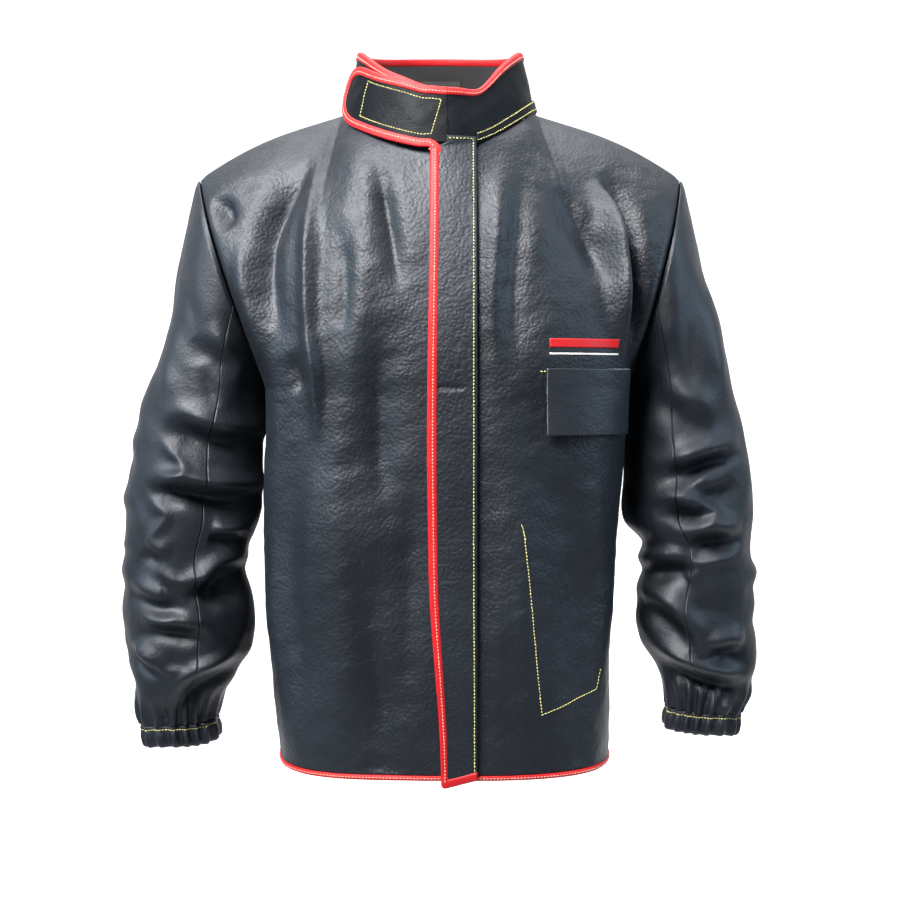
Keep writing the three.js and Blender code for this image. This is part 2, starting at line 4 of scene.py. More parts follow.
import bpy
import numpy as np
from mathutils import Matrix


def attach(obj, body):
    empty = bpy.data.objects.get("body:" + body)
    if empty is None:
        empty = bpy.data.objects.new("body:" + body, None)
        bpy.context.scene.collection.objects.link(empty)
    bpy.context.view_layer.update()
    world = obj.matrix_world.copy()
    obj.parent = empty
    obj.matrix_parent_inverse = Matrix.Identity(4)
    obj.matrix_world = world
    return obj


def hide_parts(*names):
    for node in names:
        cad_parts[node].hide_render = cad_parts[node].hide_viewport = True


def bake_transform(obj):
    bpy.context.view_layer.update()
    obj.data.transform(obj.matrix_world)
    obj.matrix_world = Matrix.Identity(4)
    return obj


bl_info = {
    "name": "Leather welding jacket",
    "version": (1, 0, 0),
    "blender": (4, 5, 0),
    "location": "3D View > Sidebar > Jacket",
    "description": "Builds a black leather welding jacket with red binding, stitching and folds",
    "category": "Add Mesh",
}

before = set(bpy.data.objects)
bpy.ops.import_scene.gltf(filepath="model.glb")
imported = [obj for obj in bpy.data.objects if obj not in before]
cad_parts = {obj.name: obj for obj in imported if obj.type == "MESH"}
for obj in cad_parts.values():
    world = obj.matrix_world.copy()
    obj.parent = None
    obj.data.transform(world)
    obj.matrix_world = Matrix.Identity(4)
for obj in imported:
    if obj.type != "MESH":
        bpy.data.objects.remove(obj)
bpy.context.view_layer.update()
MM = 0.001

# ---- Sizes in millimetres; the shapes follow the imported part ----
RIGHT, LEFT = -1, 1
FRONT, BACK = -1, 1
HEM_Z, WAIST_Z, ARMPIT_Z = -650, -450, -262
HALF_WIDTHS = (174, 187, 193)
SHIFTS = (5, 0, 8)
DEPTHS = {FRONT: (142, 146, 148), BACK: (118, 118, 130)}
SQUARENESS = 3.2
SHOULDER_HALF_WIDTH, SHOULDER_TIP_Z = 262, -35
ARMHOLE_DEPTH = 68
SHOULDER_CROWN = 9
NECK_HALF_WIDTH = 104
NECK_FRONT_Y, NECK_BACK_Y, NECK_SIDE_Y = -102, 75, 8
NECK_FRONT_Z, NECK_SIDE_Z, NECK_BACK_Z = -20, 37, 45
COLLAR_HEIGHT, COLLAR_TAPER = 66, 0.85
LEATHER, COLLAR_LEATHER, SLEEVE_LEATHER, POCKET_LEATHER = 2.2, 2.0, 1.8, 2.0
FACING_SUEDE, COLLAR_SUEDE, BAG_CLOTH = 1.2, 1.5, 1.2
BAG_DEPTH = 4.8
BINDING_WIDTH = 9
FLAP_ROOT_X, FLAP_DROP = 37, 4
FRONT_JOIN_X = 27
TAB_LENGTH, TAB_ROOT = 138, 5
NECK_SHARE = 0.42
ARC = (NECK_HALF_WIDTH - NECK_FRONT_Y) / 2
SLEEVE_SEAM = 0.3
CUFF_LENGTH = 24
POCKET_FLAP = {"width": 84, "height": 66, "top_z": -243, "side_inset": 12}

# Stations of each sleeve: outer edge (out from the shoulder tip, z), inner edge (clear of the
# body's side, z) and half the front-to-back depth.
SLEEVES = {
    RIGHT: (
        ((24, -147), (4, -276), 72), ((35, -212), (4, -298), 72), ((62, -281), (4, -324), 70),
        ((74, -350), (4, -362), 68), ((80, -400), (5, -400), 67), ((79, -450), (22, -444), 63),
        ((80, -510), (17, -502), 62), ((76, -560), (30, -552), 57), ((69, -598), (57, -590), 46),
        ((62, -622), (69, -616), 39),
    ),
    LEFT: (
        ((24, -140), (4, -276), 72), ((43, -205), (4, -298), 72), ((56, -272), (4, -326), 70),
        ((72, -338), (5, -364), 68), ((77, -390), (8, -404), 67), ((75, -436), (33, -434), 63),
        ((77, -490), (27, -494), 62), ((82, -545), (35, -534), 57), ((78, -584), (58, -574), 46),
        ((64, -610), (65, -604), 39),
    ),
}

BODY_FOLD = 2.1  # how much deeper than listed the body's folds are drawn
TAPE_SIDES = 16

# ---- Folds: (kind, height, width, path), the path as (x, z) seen from the front ----
# "step" has its ridge on the left of the path's direction and its valley on the right.
FRONT_FOLDS = (
    ("line", -9, 13, ((-132, -20), (-152, -50), (-172, -88), (-178, -130), (-170, -180), (-150, -228))),
    ("line", 6, 8, ((-128, -10), (-131, -80), (-131, -160), (-126, -240), (-122, -300))),
    ("line", -5, 9, ((-66, -20), (-55, -75), (-46, -125), (-38, -178))),
    ("line", -5, 17, ((-56, -190), (-60, -260), (-58, -330), (-52, -420))),
    ("line", -7, 13, ((-236, -58), (-230, -78), (-222, -100))),
    ("line", -4, 9, ((-150, -222), (-143, -250), (-136, -268))),
    ("line", 4, 6, ((-126, -205), (-121, -250), (-122, -330))),
    ("line", 4, 9, ((-208, -106), (-192, -175), (-178, -240))),
    ("line", -3.5, 10, ((-100, -90), (-92, -160), (-96, -230))),
    ("line", 3, 20, ((-88, -60), (-84, -140), (-86, -240), (-90, -340))),
    ("step", 11, 10, ((196, -300), (194, -230), (191, -160), (186, -100), (176, -62), (160, -40))),
    ("line", -5, 14, ((118, -38), (136, -80), (158, -128), (170, -160))),
    ("line", 4, 13, ((66, -20), (58, -90), (52, -180), (56, -290))),
    ("line", -3, 11, ((84, -14), (80, -90), (74, -170), (80, -260))),
    ("line", 4, 12, ((100, -10), (122, -50), (146, -84), (172, -118))),
    ("line", -3, 20, ((120, -330), (128, -430), (118, -540))),
    ("line", 3, 16, ((88, -350), (84, -470), (92, -600))),
    ("line", 3, 18, ((-120, -330), (-134, -440), (-128, -560))),
    ("line", -3, 16, ((-152, -300), (-162, -400), (-150, -520), (-146, -620))),
    ("line", -2.5, 14, ((-30, -330), (-26, -450), (-34, -600))),
    ("line", -5, 24, ((-140, -230), (-148, -360), (-140, -480), (-146, -660))),
    ("line", 4, 24, ((-98, -260), (-104, -390), (-92, -520), (-100, -660))),
    ("line", -4, 20, ((-58, -400), (-66, -500), (-58, -580), (-62, -680))),
    ("line", -4, 24, ((144, -360), (150, -460), (142, -560), (148, -680))),
    ("line", 3, 24, ((60, -240), (66, -380), (58, -520), (62, -680))),
)
BACK_FOLDS = (
    ("line", -6, 15, ((-186, -110), (-150, -200), (-130, -300), (-128, -420))),
    ("line", -6, 15, ((186, -100), (158, -190), (132, -290), (126, -400))),
    ("line", 5, 12, ((-140, -90), (-112, -190), (-98, -320), (-102, -520))),
    ("line", 5, 12, ((150, -110), (118, -210), (100, -330), (104, -560))),
    ("line", -4, 18, ((-40, -180), (-52, -320), (-44, -520))),
    ("line", -4, 18, ((44, -150), (52, -300), (40, -480), (46, -620))),
    ("line", 3, 14, ((0, -120), (4, -260), (-4, -460))),
    ("line", -4, 12, ((-90, -20), (-70, -70), (-60, -120))),
    ("line", -4, 12, ((90, -20), (76, -70), (62, -130))),
)
SLEEVE_FOLDS = {
    RIGHT: (
        ("step", 9, 11, ((-296, -300), (-266, -298), (-238, -308), (-202, -312), (-184, -318))),
        ("step", 12, 9, ((-309, -366), (-290, -362), (-266, -363), (-235, -368), (-202, -371), (-184, -376))),
        ("line", -9, 15, ((-266, -380), (-238, -388), (-210, -391), (-188, -388))),
        ("step", 6, 6, ((-240, -411), (-226, -415), (-202, -414))),
        ("step", 11, 9, ((-271, -470), (-246, -465), (-230, -452), (-200, -449))),
        ("line", -9, 14, ((-252, -482), (-226, -480), (-204, -478))),
        ("step", 8, 8, ((-321, -512), (-285, -510), (-262, -514), (-236, -521))),
        ("step", 7, 8, ((-329, -528), (-319, -542), (-302, -552), (-280, -556))),
        ("step", 10, 8, ((-285, -609), (-272, -583), (-255, -567), (-225, -553), (-208, -538))),
        ("step", 5, 8, ((-312, -427), (-297, -434), (-283, -442))),
        ("step", 6, 9, ((-330, -466), (-314, -478), (-288, -485), (-274, -477))),
        ("line", 5, 6, ((-296, -308), (-282, -324), (-264, -346), (-283, -359), (-305, -364))),
        ("line", 4, 6, ((-309, -370), (-296, -382), (-284, -396), (-300, -416), (-312, -424))),
        ("line", 5, 7, ((-311, -439), (-290, -454), (-268, -464), (-238, -454), (-230, -442))),
        ("line", 5, 7, ((-327, -478), (-308, -497), (-284, -506), (-271, -496))),
        ("line", 5, 7, ((-326, -534), (-306, -551), (-280, -558), (-268, -550))),
        ("line", -4, 12, ((-270, -150), (-256, -190), (-250, -240))),
        ("line", 4, 14, ((-290, -190), (-282, -240), (-290, -290))),
        ("step", 5, 12, ((-250, -200), (-230, -222), (-206, -230))),
        ("line", -4, 9, ((-246, -236), (-238, -262), (-230, -284))),
        ("line", -3.5, 9, ((-304, -588), (-296, -606), (-290, -618))),
    ),
    LEFT: (
        ("step", 11, 9, ((222, -352), (246, -344), (272, -335), (296, -329), (321, -328))),
        ("line", 7, 6, ((323, -339), (302, -343), (282, -348), (262, -362), (245, -376))),
        ("step", 6, 8, ((262, -370), (286, -365), (310, -352))),
        ("step", 11, 9, ((222, -388), (245, -383), (262, -386), (282, -389))),
        ("line", 5, 6, ((245, -378), (262, -382), (282, -387), (284, -395), (272, -409), (248, -423))),
        ("step", 10, 9, ((248, -426), (269, -416), (293, -414), (320, -416))),
        ("step", 9, 9, ((214, -461), (236, -447), (272, -443))),
        ("line", 5, 7, ((246, -436), (268, -444), (300, -438), (320, -425))),
        ("line", 4, 7, ((256, -463), (274, -450))),
        ("step", 9, 10, ((205, -475), (232, -492), (255, -511), (272, -529))),
        ("line", 5, 8, ((258, -501), (274, -529), (274, -546))),
        ("step", 8, 9, ((276, -538), (300, -533), (324, -531))),
        ("step", 11, 8, ((220, -528), (240, -547), (267, -560), (300, -569), (331, -572))),
        ("line", -5, 12, ((252, -502), (281, -492), (310, -502))),
        ("line", -4, 12, ((262, -140), (258, -190), (262, -240), (256, -290))),
        ("line", 5, 12, ((276, -120), (284, -180), (292, -240), (306, -300))),
        ("step", 6, 12, ((230, -262), (258, -284), (290, -300))),
        ("line", -5, 14, ((228, -200), (226, -250), (232, -300))),
        ("line", -4, 9, ((290, -552), (286, -580), (284, -600))),
        ("line", -4, 8, ((312, -560), (306, -584), (302, -600))),
    ),
}


# ---- Settings shown in the sidebar ----
class JacketSizes(bpy.types.PropertyGroup):
    fold_depth: bpy.props.FloatProperty(
        name="Fold depth", description="Depth of the folds over their natural depth", default=1.0, min=0, max=2)
    grain: bpy.props.FloatProperty(
        name="Grain", description="Width of one pebble of the leather grain", default=0.0034, unit="LENGTH")
    stitch: bpy.props.FloatProperty(
        name="Stitch", description="Length of one stitch with its gap", default=0.0034, unit="LENGTH")
    thread: bpy.props.FloatProperty(
        name="Thread", description="Thickness of the sewing thread", default=0.0011, unit="LENGTH")


class JacketColours(bpy.types.PropertyGroup):
    leather: bpy.props.StringProperty(
        name="Leather", description="sRGB colour of the dyed leather", default="#060B13")
    binding: bpy.props.StringProperty(
        name="Binding", description="sRGB colour of the edge binding", default="#C40E16")
    thread: bpy.props.StringProperty(
        name="Thread", description="sRGB colour of the aramid thread", default="#D8D68A")


# ---- Curves and surfaces ----
def along(values, t):
    """A smooth value through equally spaced entries of a list, t running from 0 to 1."""
    values = np.asarray(values, float)
    at = np.clip(t, 0, 1) * (len(values) - 1)
    i = np.minimum(at.astype(int), len(values) - 2)
    f = at - i
    here, following = values[i], values[i + 1]
    rise = (following - values[np.maximum(i - 1, 0)]) / 2
    fall = (values[np.minimum(i + 2, len(values) - 1)] - here) / 2
    return ((2 * f**3 - 3 * f**2 + 1) * here + (f**3 - 2 * f**2 + f) * rise
            + (3 * f**2 - 2 * f**3) * following + (f**3 - f**2) * fall)


def smooth(low, high, x):
    t = np.clip((x - low) / (high - low), 0, 1)
    return t * t * (3 - 2 * t)


def unit(v):
    return v / np.maximum(np.linalg.norm(v, axis=-1, keepdims=True), 1e-9)


def stack(x, y, z):
    return np.stack(np.broadcast_arrays(x, y, z), axis=-1).astype(float)


def bezier(t, a, b, c, d):
    t = np.asarray(t)[..., None]
    s = 1 - t
    return a * s**3 + 3 * b * s * s * t + 3 * c * s * t * t + d * t**3


def body_row(side, face, u, t):
    width = along(HALF_WIDTHS, t)
    depth = along(DEPTHS[face], t)
    power = 2 / SQUARENESS
    x = width * np.sin(u * math.pi / 2) ** power
    y = depth * np.maximum(np.cos(u * math.pi / 2), 0) ** power
    return stack(along(SHIFTS, t) + side * x, face * y, along((HEM_Z, WAIST_Z, ARMPIT_Z), t))


def neck_seam(angle):
    c = np.cos(angle)
    front = c > 0
    reach = np.where(front, NECK_FRONT_Y - NECK_SIDE_Y, NECK_SIDE_Y - NECK_BACK_Y)
    rise = np.where(front, NECK_FRONT_Z, NECK_BACK_Z) - NECK_SIDE_Z
    return stack(NECK_HALF_WIDTH * np.sin(angle), NECK_SIDE_Y + reach * c, NECK_SIDE_Z + rise * c * c)


def shoulder_tip(side):
    return np.array((side * SHOULDER_HALF_WIDTH, 0.0, SHOULDER_TIP_Z))


def armpit(side):
    return body_row(side, FRONT, np.array(1.0), np.array(1.0))


def top_row(side, face, u):
    """The neck seam from the centre to the side, then the shoulder line out to the tip."""
    angle = np.clip(u / NECK_SHARE, 0, 1) * math.pi / 2
    neck = neck_seam(side * (angle if face == FRONT else math.pi - angle))
    run = np.clip((u - NECK_SHARE) / (1 - NECK_SHARE), 0, 1)[..., None]
    return neck * (1 - run) + shoulder_tip(side) * run


def body(side, face, u, v):
    """The body's surface: u from the centre (0) to the side (1), v hem 0, armpit 1, shoulder 2."""
    u, v = np.broadcast_arrays(np.asarray(u, float), np.asarray(v, float))
    lower_part = body_row(side, face, u, np.minimum(v, 1))
    lower = body_row(side, face, u, np.ones_like(u))
    upper = top_row(side, face, u)
    near_corner = np.exp(-(((u - NECK_SHARE) / 0.13) ** 2))[..., None]
    rounded = sum(top_row(side, face, u + d) for d in (-0.12, -0.05, 0.05, 0.12)) / 4
    soft = upper + (rounded - upper) * near_corner
    rim = (shoulder_tip(side) - armpit(side)) * 0.25
    out = np.array((0, face * ARMHOLE_DEPTH * 4 / 3, 0))
    to_rim = (u**3)[..., None]
    from_hem = np.array((0, face * 4, 90)) * (1 - to_rim) + (rim + out) * to_rim
    to_shoulder = smooth(0, NECK_SHARE + 0.12, u)[..., None]
    drop = (np.array((0, face * 28, -75)) * (1 - to_shoulder)
            + np.array((side * 4, face * 84, -30)) * to_shoulder)
    from_top = drop * (1 - to_rim) + (out - rim) * to_rim
    upper_part = bezier(np.clip(v - 1, 0, 1), lower, lower + from_hem, soft + from_top, upper)
    run = np.clip((u - NECK_SHARE) / (1 - NECK_SHARE), 0, 1)
    crown = SHOULDER_CROWN * np.sin(math.pi * run**1.2) * smooth(1.3, 2, v)
    upper_part = upper_part + stack(0, 0, crown)
    return np.where((v <= 1)[..., None], lower_part, upper_part)


def inward(p):
    sink = 60 * smooth(ARMPIT_Z + 100, NECK_SIDE_Z, p[..., 2])
    return unit(stack(-0.3 * p[..., 0], -p[..., 1], -sink))


def strokes(x, z, folds):
    """The height of the given folds at points seen from the front."""
    total = np.zeros(x.shape)
    for kind, height, width, path in folds:
        path = np.array(path, float)
        t = np.linspace(0, 1, 6 * len(path))
        line = np.stack((along(path[:, 0], t), along(path[:, 1], t)), -1)
        reach = 3.6 * width
        low, high = line.min(axis=0) - reach, line.max(axis=0) + reach
        close = (x > low[0]) & (x < high[0]) & (z > low[1]) & (z < high[1])
        if close.any():
            total[close] += one_stroke(np.stack((x[close], z[close]), -1), kind, height, width, line)
    return total


def one_stroke(points, kind, height, width, line):
    near = np.full(len(points), 1e9)
    where, sign = np.zeros(len(points)), np.ones(len(points))
    for i, (a, b) in enumerate(zip(line[:-1], line[1:])):
        d = b - a
        k = np.clip((points - a) @ d / max(d @ d, 1e-9), 0, 1)
        off = points - a - k[:, None] * d
        distance = np.hypot(off[:, 0], off[:, 1])
        closer = distance < near
        near[closer] = distance[closer]
        where[closer] = (i + k[closer]) / (len(line) - 1)
        sign[closer] = np.sign(d[0] * off[closer, 1] - d[1] * off[closer, 0])
    taper = smooth(0, 0.42, where) * smooth(1, 0.58, where)
    r = near / width
    if kind == "line":
        return height * taper * np.exp(-0.9 * r**1.7)
    return height * taper * sign * r * np.exp(0.5 * (1 - r * r))


def waves(p, wavelength, seed, count=9):
    """Soft irregular waves from a few summed sines in fixed directions."""
    rng = np.random.default_rng(seed)
    total = np.zeros(p.shape[:-1])
    for _ in range(count):
        direction = unit(rng.normal(size=3))
        per_length = 2 * math.pi / (wavelength * rng.uniform(0.7, 1.5))
        total += np.sin(p @ direction * per_length + rng.uniform(0, 6.3))
    return total / math.sqrt(count)


def fold_depth():
    return bpy.context.scene.jacket_sizes.fold_depth


def body_lift(face, u, v, p):
    """How far the leather stands out from the plain body shape at each point."""
    folds = FRONT_FOLDS if face == FRONT else BACK_FOLDS
    lift = BODY_FOLD * strokes(p[..., 0], p[..., 2], folds)
    lift += 1.5 * waves(p, 95, 3) + 0.45 * waves(p, 34, 5) + 0.16 * waves(p, 15, 8)
    at_armhole = np.where(v > 1, smooth(1, 0.9, u), smooth(1.0, 0.97, u) * 0.6 + 0.4)
    at_top = smooth(2.0, 1.88, v)
    at_hem = 0.35 + 0.65 * smooth(0, 0.06, v)
    under_flap = 1 - 0.75 * np.exp(-(((p[..., 0] - 14) / 34) ** 4)) * (face == FRONT)
    seam = -2.2 * np.exp(-(((1 - u) / 0.02) ** 2)) * (v > 1)
    beside_pocket = np.exp(-(((p[..., 0] - 147) / 46) ** 4) - (((p[..., 2] + 262) / 72) ** 4)) * (face == FRONT)
    lift = lift * (1 - 0.85 * beside_pocket)
    return (lift * at_armhole * at_top * at_hem * under_flap) * fold_depth() + seam


def body_surface(side, face, u, v, out=0.0, folded=True):
    p = body(side, face, u, v)
    if not folded:
        return p
    lift = body_lift(face, np.broadcast_to(u, p.shape[:-1]), np.broadcast_to(v, p.shape[:-1]), p)
    return p - inward(p) * (lift + out)[..., None]


def solve(value, low, high, measure):
    low = np.full_like(value, low, dtype=float)
    high = np.full_like(value, high, dtype=float)
    for _ in range(15):
        middle = (low + high) / 2
        below = measure(middle) < value
        low, high = np.where(below, middle, low), np.where(below, high, middle)
    return (low + high) / 2


def front_uv(side, x, z):
    """The body coordinates of front points given by x and z."""
    u = np.full_like(x, 0.5)
    v = np.ones_like(x)
    for _ in range(4):
        v = solve(z, 0, 2, lambda k: body(side, FRONT, u, k)[..., 2])
        u = solve(side * x, 0, 1, lambda k: side * body(side, FRONT, k, v)[..., 0])
    return u, v


def on_front(x, z, out=0.0, folded=True):
    """Points of the front at x and z, folded and raised by out, or else plain and not raised.

    z may run past the hem or the neck seam.
    """
    x, z = np.broadcast_arrays(np.asarray(x, float), np.asarray(z, float))
    across = 1 - np.minimum((x / NECK_HALF_WIDTH) ** 2, 1)
    neck_z = NECK_SIDE_Z + (NECK_FRONT_Z - NECK_SIDE_Z) * across - 1
    beyond = np.minimum(z - HEM_Z, 0) + np.where(across > 0, np.maximum(z - neck_z, 0), 0)
    height = solve(z - beyond, 0, 2, lambda k: body(LEFT, FRONT, 0, k)[..., 2])
    left = x >= body(LEFT, FRONT, 0, height)[..., 0]
    points = np.zeros(x.shape + (3,))
    for side, mask in ((LEFT, left), (RIGHT, ~left)):
        if mask.any():
            u, v = front_uv(side, x[mask], (z - beyond)[mask])
            points[mask] = body_surface(side, FRONT, u, v, np.broadcast_to(out, x.shape)[mask], folded)
    points[..., 2] += beyond
    return points


def collar(angle, k, out=0.0):
    seam = neck_seam(angle)
    taper = 1 + (COLLAR_TAPER - 1) * k
    p = stack(seam[..., 0] * taper, NECK_SIDE_Y + (seam[..., 1] - NECK_SIDE_Y) * taper,
              seam[..., 2] + COLLAR_HEIGHT * k)
    away = unit(p * np.array((1, 1, 0)))
    arc = ARC * ((angle + math.pi) % (2 * math.pi) - math.pi)
    sag = 4 * np.exp(-(((arc + 40) / 30) ** 2)) - 10 * np.exp(-(((arc - 50) / 24) ** 2))
    p = p + stack(0, 0, sag * np.clip(k, 0, 1) + 0 * p[..., 2])
    buckle = (0.8 * waves(p, 60, 21) + 0.3 * waves(p, 22, 22)) * np.sin(math.pi * np.clip(k, 0, 1))
    return p + away * (np.asarray(out) + buckle)[..., None]


def sleeve_rings(side, s):
    """Outer edge, inner edge, depth and pointedness of the sleeve's sections at s."""
    tip, pit = shoulder_tip(side), armpit(side)
    rows = [((side * tip[0], tip[2]), (side * pit[0], pit[2]), ARMHOLE_DEPTH)]
    for outer, inner, depth in SLEEVES[side]:
        t = solve(np.array([float(inner[1])]), 0, 1,
                  lambda k: body_row(side, FRONT, np.ones_like(k), k)[..., 2])
        edge = side * body_row(side, FRONT, np.ones(1), t)[0, 0]
        rows.append(((SHOULDER_HALF_WIDTH + outer[0], outer[1]), (edge + inner[0], inner[1]), depth))
    outer = stack(side * along([r[0][0] for r in rows], s), 0, along([r[0][1] for r in rows], s))
    inner = stack(side * along([r[1][0] for r in rows], s), 0, along([r[1][1] for r in rows], s))
    return outer, inner, along([r[2] for r in rows], s), 0.25 + (0.04 - 0.25) * np.minimum(s * 4, 1)


def ring_points(outer, inner, depth, point, w):
    turn = w % 1
    face = np.where(turn < 0.5, FRONT, BACK)
    t = np.where(turn < 0.5, turn * 2, 2 - turn * 2)
    out = stack(0, face * depth * 4 / 3, 0)
    step = (inner - outer) * point[..., None]
    return bezier(t, outer, outer + step + out, inner - step + out, inner)


def sleeve_surface(side, s, w, out=0.0, folded=True):
    s, w = np.broadcast_arrays(np.asarray(s, float), np.asarray(w, float))
    outer, inner, depth, point = sleeve_rings(side, s)
    p = ring_points(outer, inner, depth, point, w)
    if not folded:
        return p
    centre = (outer + inner) / 2
    away = unit(p - centre)
    facing = -away[..., 1]
    x, z = p[..., 0], p[..., 2]
    front = strokes(x, z, SLEEVE_FOLDS[side]) * smooth(-0.75, 0.15, facing)
    mirrored = 2 * centre[..., 0] - x
    back = strokes(mirrored, z + 16, SLEEVE_FOLDS[side]) * smooth(-0.75, 0.15, -facing)
    lift = front + back + 1.2 * waves(p, 80, 31) + 0.4 * waves(p, 30, 33)
    lift = lift * smooth(0, 0.1, s) * smooth(1.0, 0.955, s) * fold_depth()
    gathers = 3.0 * np.cos(2 * math.pi * 17 * w + 1.6 * np.sin(2 * math.pi * 3 * w)) * smooth(0.86, 0.97, s)
    puff = 3.2 * smooth(0, 0.02, s) * smooth(0.14, 0.03, s)
    return p + away * (lift + gathers + puff + np.asarray(out))[..., None]


# ---- Meshes ----
def add_mesh(name, vertices, faces, body_name, material, replaces=()):
    mesh = bpy.data.meshes.new(name)
    mesh.from_pydata((np.asarray(vertices).reshape(-1, 3) * MM).tolist(), [], np.asarray(faces).tolist())
    mesh.update()
    mesh.shade_smooth()
    piece = bpy.data.objects.new(name, mesh)
    bpy.context.collection.objects.link(piece)
    mesh.materials.append(material)
    if body_name:
        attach(piece, body_name)
    if replaces:
        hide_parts(*replaces)
    return piece


def grid_faces(rows, columns, closed=False):
    i, j = np.meshgrid(np.arange(rows - 1), np.arange(columns if closed else columns - 1), indexing="ij")
    k = (j + 1) % columns
    corners = (i * columns + j, i * columns + k, (i + 1) * columns + k, (i + 1) * columns + j)
    return np.stack(corners, -1).reshape(-1, 4)


def make_active(piece):
    bpy.ops.object.select_all(action="DESELECT")
    bpy.context.view_layer.objects.active = piece
    piece.select_set(True)


def apply_modifier(piece, kind, **settings):
    modifier = piece.modifiers.new(kind.title(), kind)
    for key, value in settings.items():
        setattr(modifier, key, value)
    make_active(piece)
    bpy.ops.object.modifier_apply(modifier=modifier.name)
    return piece


def panel(name, points, body_name, material, thickness, replaces=(), closed=False, outward=None, rim=None):
    """A panel of leather: a grid of outer points given a thickness towards the inside."""
    rows, columns = points.shape[:2]
    faces = grid_faces(rows, columns, closed)
    middle = points[rows // 2, columns // 2]
    beside, below = points[rows // 2, columns // 2 + 1], points[rows // 2 + 1, columns // 2]
    normal = np.cross(beside - middle, below - middle)
    away = -inward(middle) if outward is None else outward
    if np.dot(normal, away) < 0:
        faces = faces[:, ::-1]
    piece = add_mesh(name, points, faces, body_name, material, replaces)
    if rim is not None:
        piece.data.materials.append(rim)
    apply_modifier(piece, "SOLIDIFY", thickness=thickness * MM, offset=-1, use_even_offset=False,
                   material_offset_rim=1 if rim is not None else 0)
    return piece


def stitch_row(name, path, outward, body_name, material, pitch=None, sunk=0.15):
    """A row of stitches on a line of points: short rounded lengths of thread with gaps between."""
    sizes = bpy.context.scene.jacket_sizes
    pitch = (sizes.stitch if pitch is None else pitch) / MM
    radius = sizes.thread / MM / 2
    steps = np.linalg.norm(np.diff(path, axis=0), axis=1)
    length = np.concatenate(([0], np.cumsum(steps)))
    count = max(int(length[-1] / pitch), 1)
    starts = (np.arange(count) + 0.5) * (length[-1] / count)
    at = lambda d, values: np.stack([np.interp(d, length, values[:, c]) for c in range(3)], -1)
    middle, normal = at(starts, path), unit(at(starts, outward))
    tangent = unit(at(starts + 0.4, path) - at(starts - 0.4, path))
    across = np.cross(normal, tangent)
    ring = np.arange(6) * math.pi / 3
    along_thread = np.array((-0.36, -0.24, 0.24, 0.36)) * pitch
    fat = np.array((0.45, 1.0, 1.0, 0.45))
    height = np.array((-0.5, 0.15, 0.15, -0.5)) * radius - sunk * radius
    vertices = (middle[:, None, None] + tangent[:, None, None] * along_thread[None, :, None, None]
                + normal[:, None, None]
                * (height[:, None] + fat[:, None] * radius * np.sin(ring))[None, ..., None]
                + across[:, None, None] * (fat[:, None] * radius * np.cos(ring))[None, ..., None])
    one = [(a * 6 + j, a * 6 + (j + 1) % 6, (a + 1) * 6 + (j + 1) % 6, (a + 1) * 6 + j)
           for a in range(3) for j in range(6)]
    caps = [(5, 4, 3, 2), (5, 2, 1, 0), (18, 19, 20, 21), (18, 21, 22, 23)]
    block = np.array(one + caps)
    faces = (block[None] + 24 * np.arange(count)[:, None, None]).reshape(-1, 4)
    return add_mesh(name, vertices, faces, body_name, material)


def outward_of(path):
    return -inward(path)


def squircle(c):
    """Turns a circle's cosine or sine into that of a rounded square."""
    return np.sign(c) * np.abs(c) ** 0.62


def tape_turn():
    return np.arange(TAPE_SIDES) * 2 * math.pi / TAPE_SIDES


def tape_ends(rows):
    last = (rows - 1) * TAPE_SIDES
    return [[last + j for j in range(TAPE_SIDES)], list(range(TAPE_SIDES))[::-1]]


def binding(name, outline, surface, body_name, material, replaces, low, high, width=BINDING_WIDTH):
    """Binding folded over an edge: a rounded section that runs along an outline of 2-D points."""
    outline = np.asarray(outline, float)
    tangent = unit(np.gradient(outline, axis=0))
    inside = np.stack((-tangent[:, 1], tangent[:, 0]), -1)
    turn = tape_turn()
    across = width / 2 - squircle(np.cos(turn)) * width / 2
    out = (low + high) / 2 + squircle(np.sin(turn)) * (high - low) / 2
    flat = outline[:, None] + inside[:, None] * across[None, :, None]
    points = surface(flat[..., 0], flat[..., 1], np.broadcast_to(out, flat.shape[:-1]))
    faces = grid_faces(len(outline), TAPE_SIDES, closed=True)
    piece = add_mesh(name, points, faces, body_name, material, replaces)
    add_caps(piece, tape_ends(len(outline)))
    return piece


def add_caps(piece, caps):
    """Closes the ends of a swept piece and points all its faces outwards."""
    make_active(piece)
    mesh = piece.data
    vertices = [tuple(v.co) for v in mesh.vertices]
    faces = [tuple(f.vertices) for f in mesh.polygons] + [tuple(c) for c in caps]
    material = mesh.materials[0]
    mesh.clear_geometry()
    mesh.from_pydata(vertices, [], faces)
    mesh.shade_smooth()
    if not mesh.materials:
        mesh.materials.append(material)
    bpy.ops.object.mode_set(mode="EDIT")
    bpy.ops.mesh.select_all(action="SELECT")
    bpy.ops.mesh.normals_make_consistent(inside=False)
    bpy.ops.object.mode_set(mode="OBJECT")


# ---- Materials ----
def linear(hex_colour):
    channels = (int(hex_colour[i:i + 2], 16) / 255 for i in (1, 3, 5))
    return tuple(c / 12.92 if c <= 0.04045 else ((c + 0.055) / 1.055) ** 2.4 for c in channels) + (1.0,)


def node(tree, kind, links=None, **settings):
    """Adds a node; settings name its properties or inputs and links its inputs' sources."""
    made = tree.nodes.new(kind)
    for key, value in settings.items():
        if key in made.inputs:
            made.inputs[key].default_value = value
        else:
            setattr(made, key, value)
    for key, source in (links or {}).items():
        tree.links.new(source, made.inputs[key])
    return made


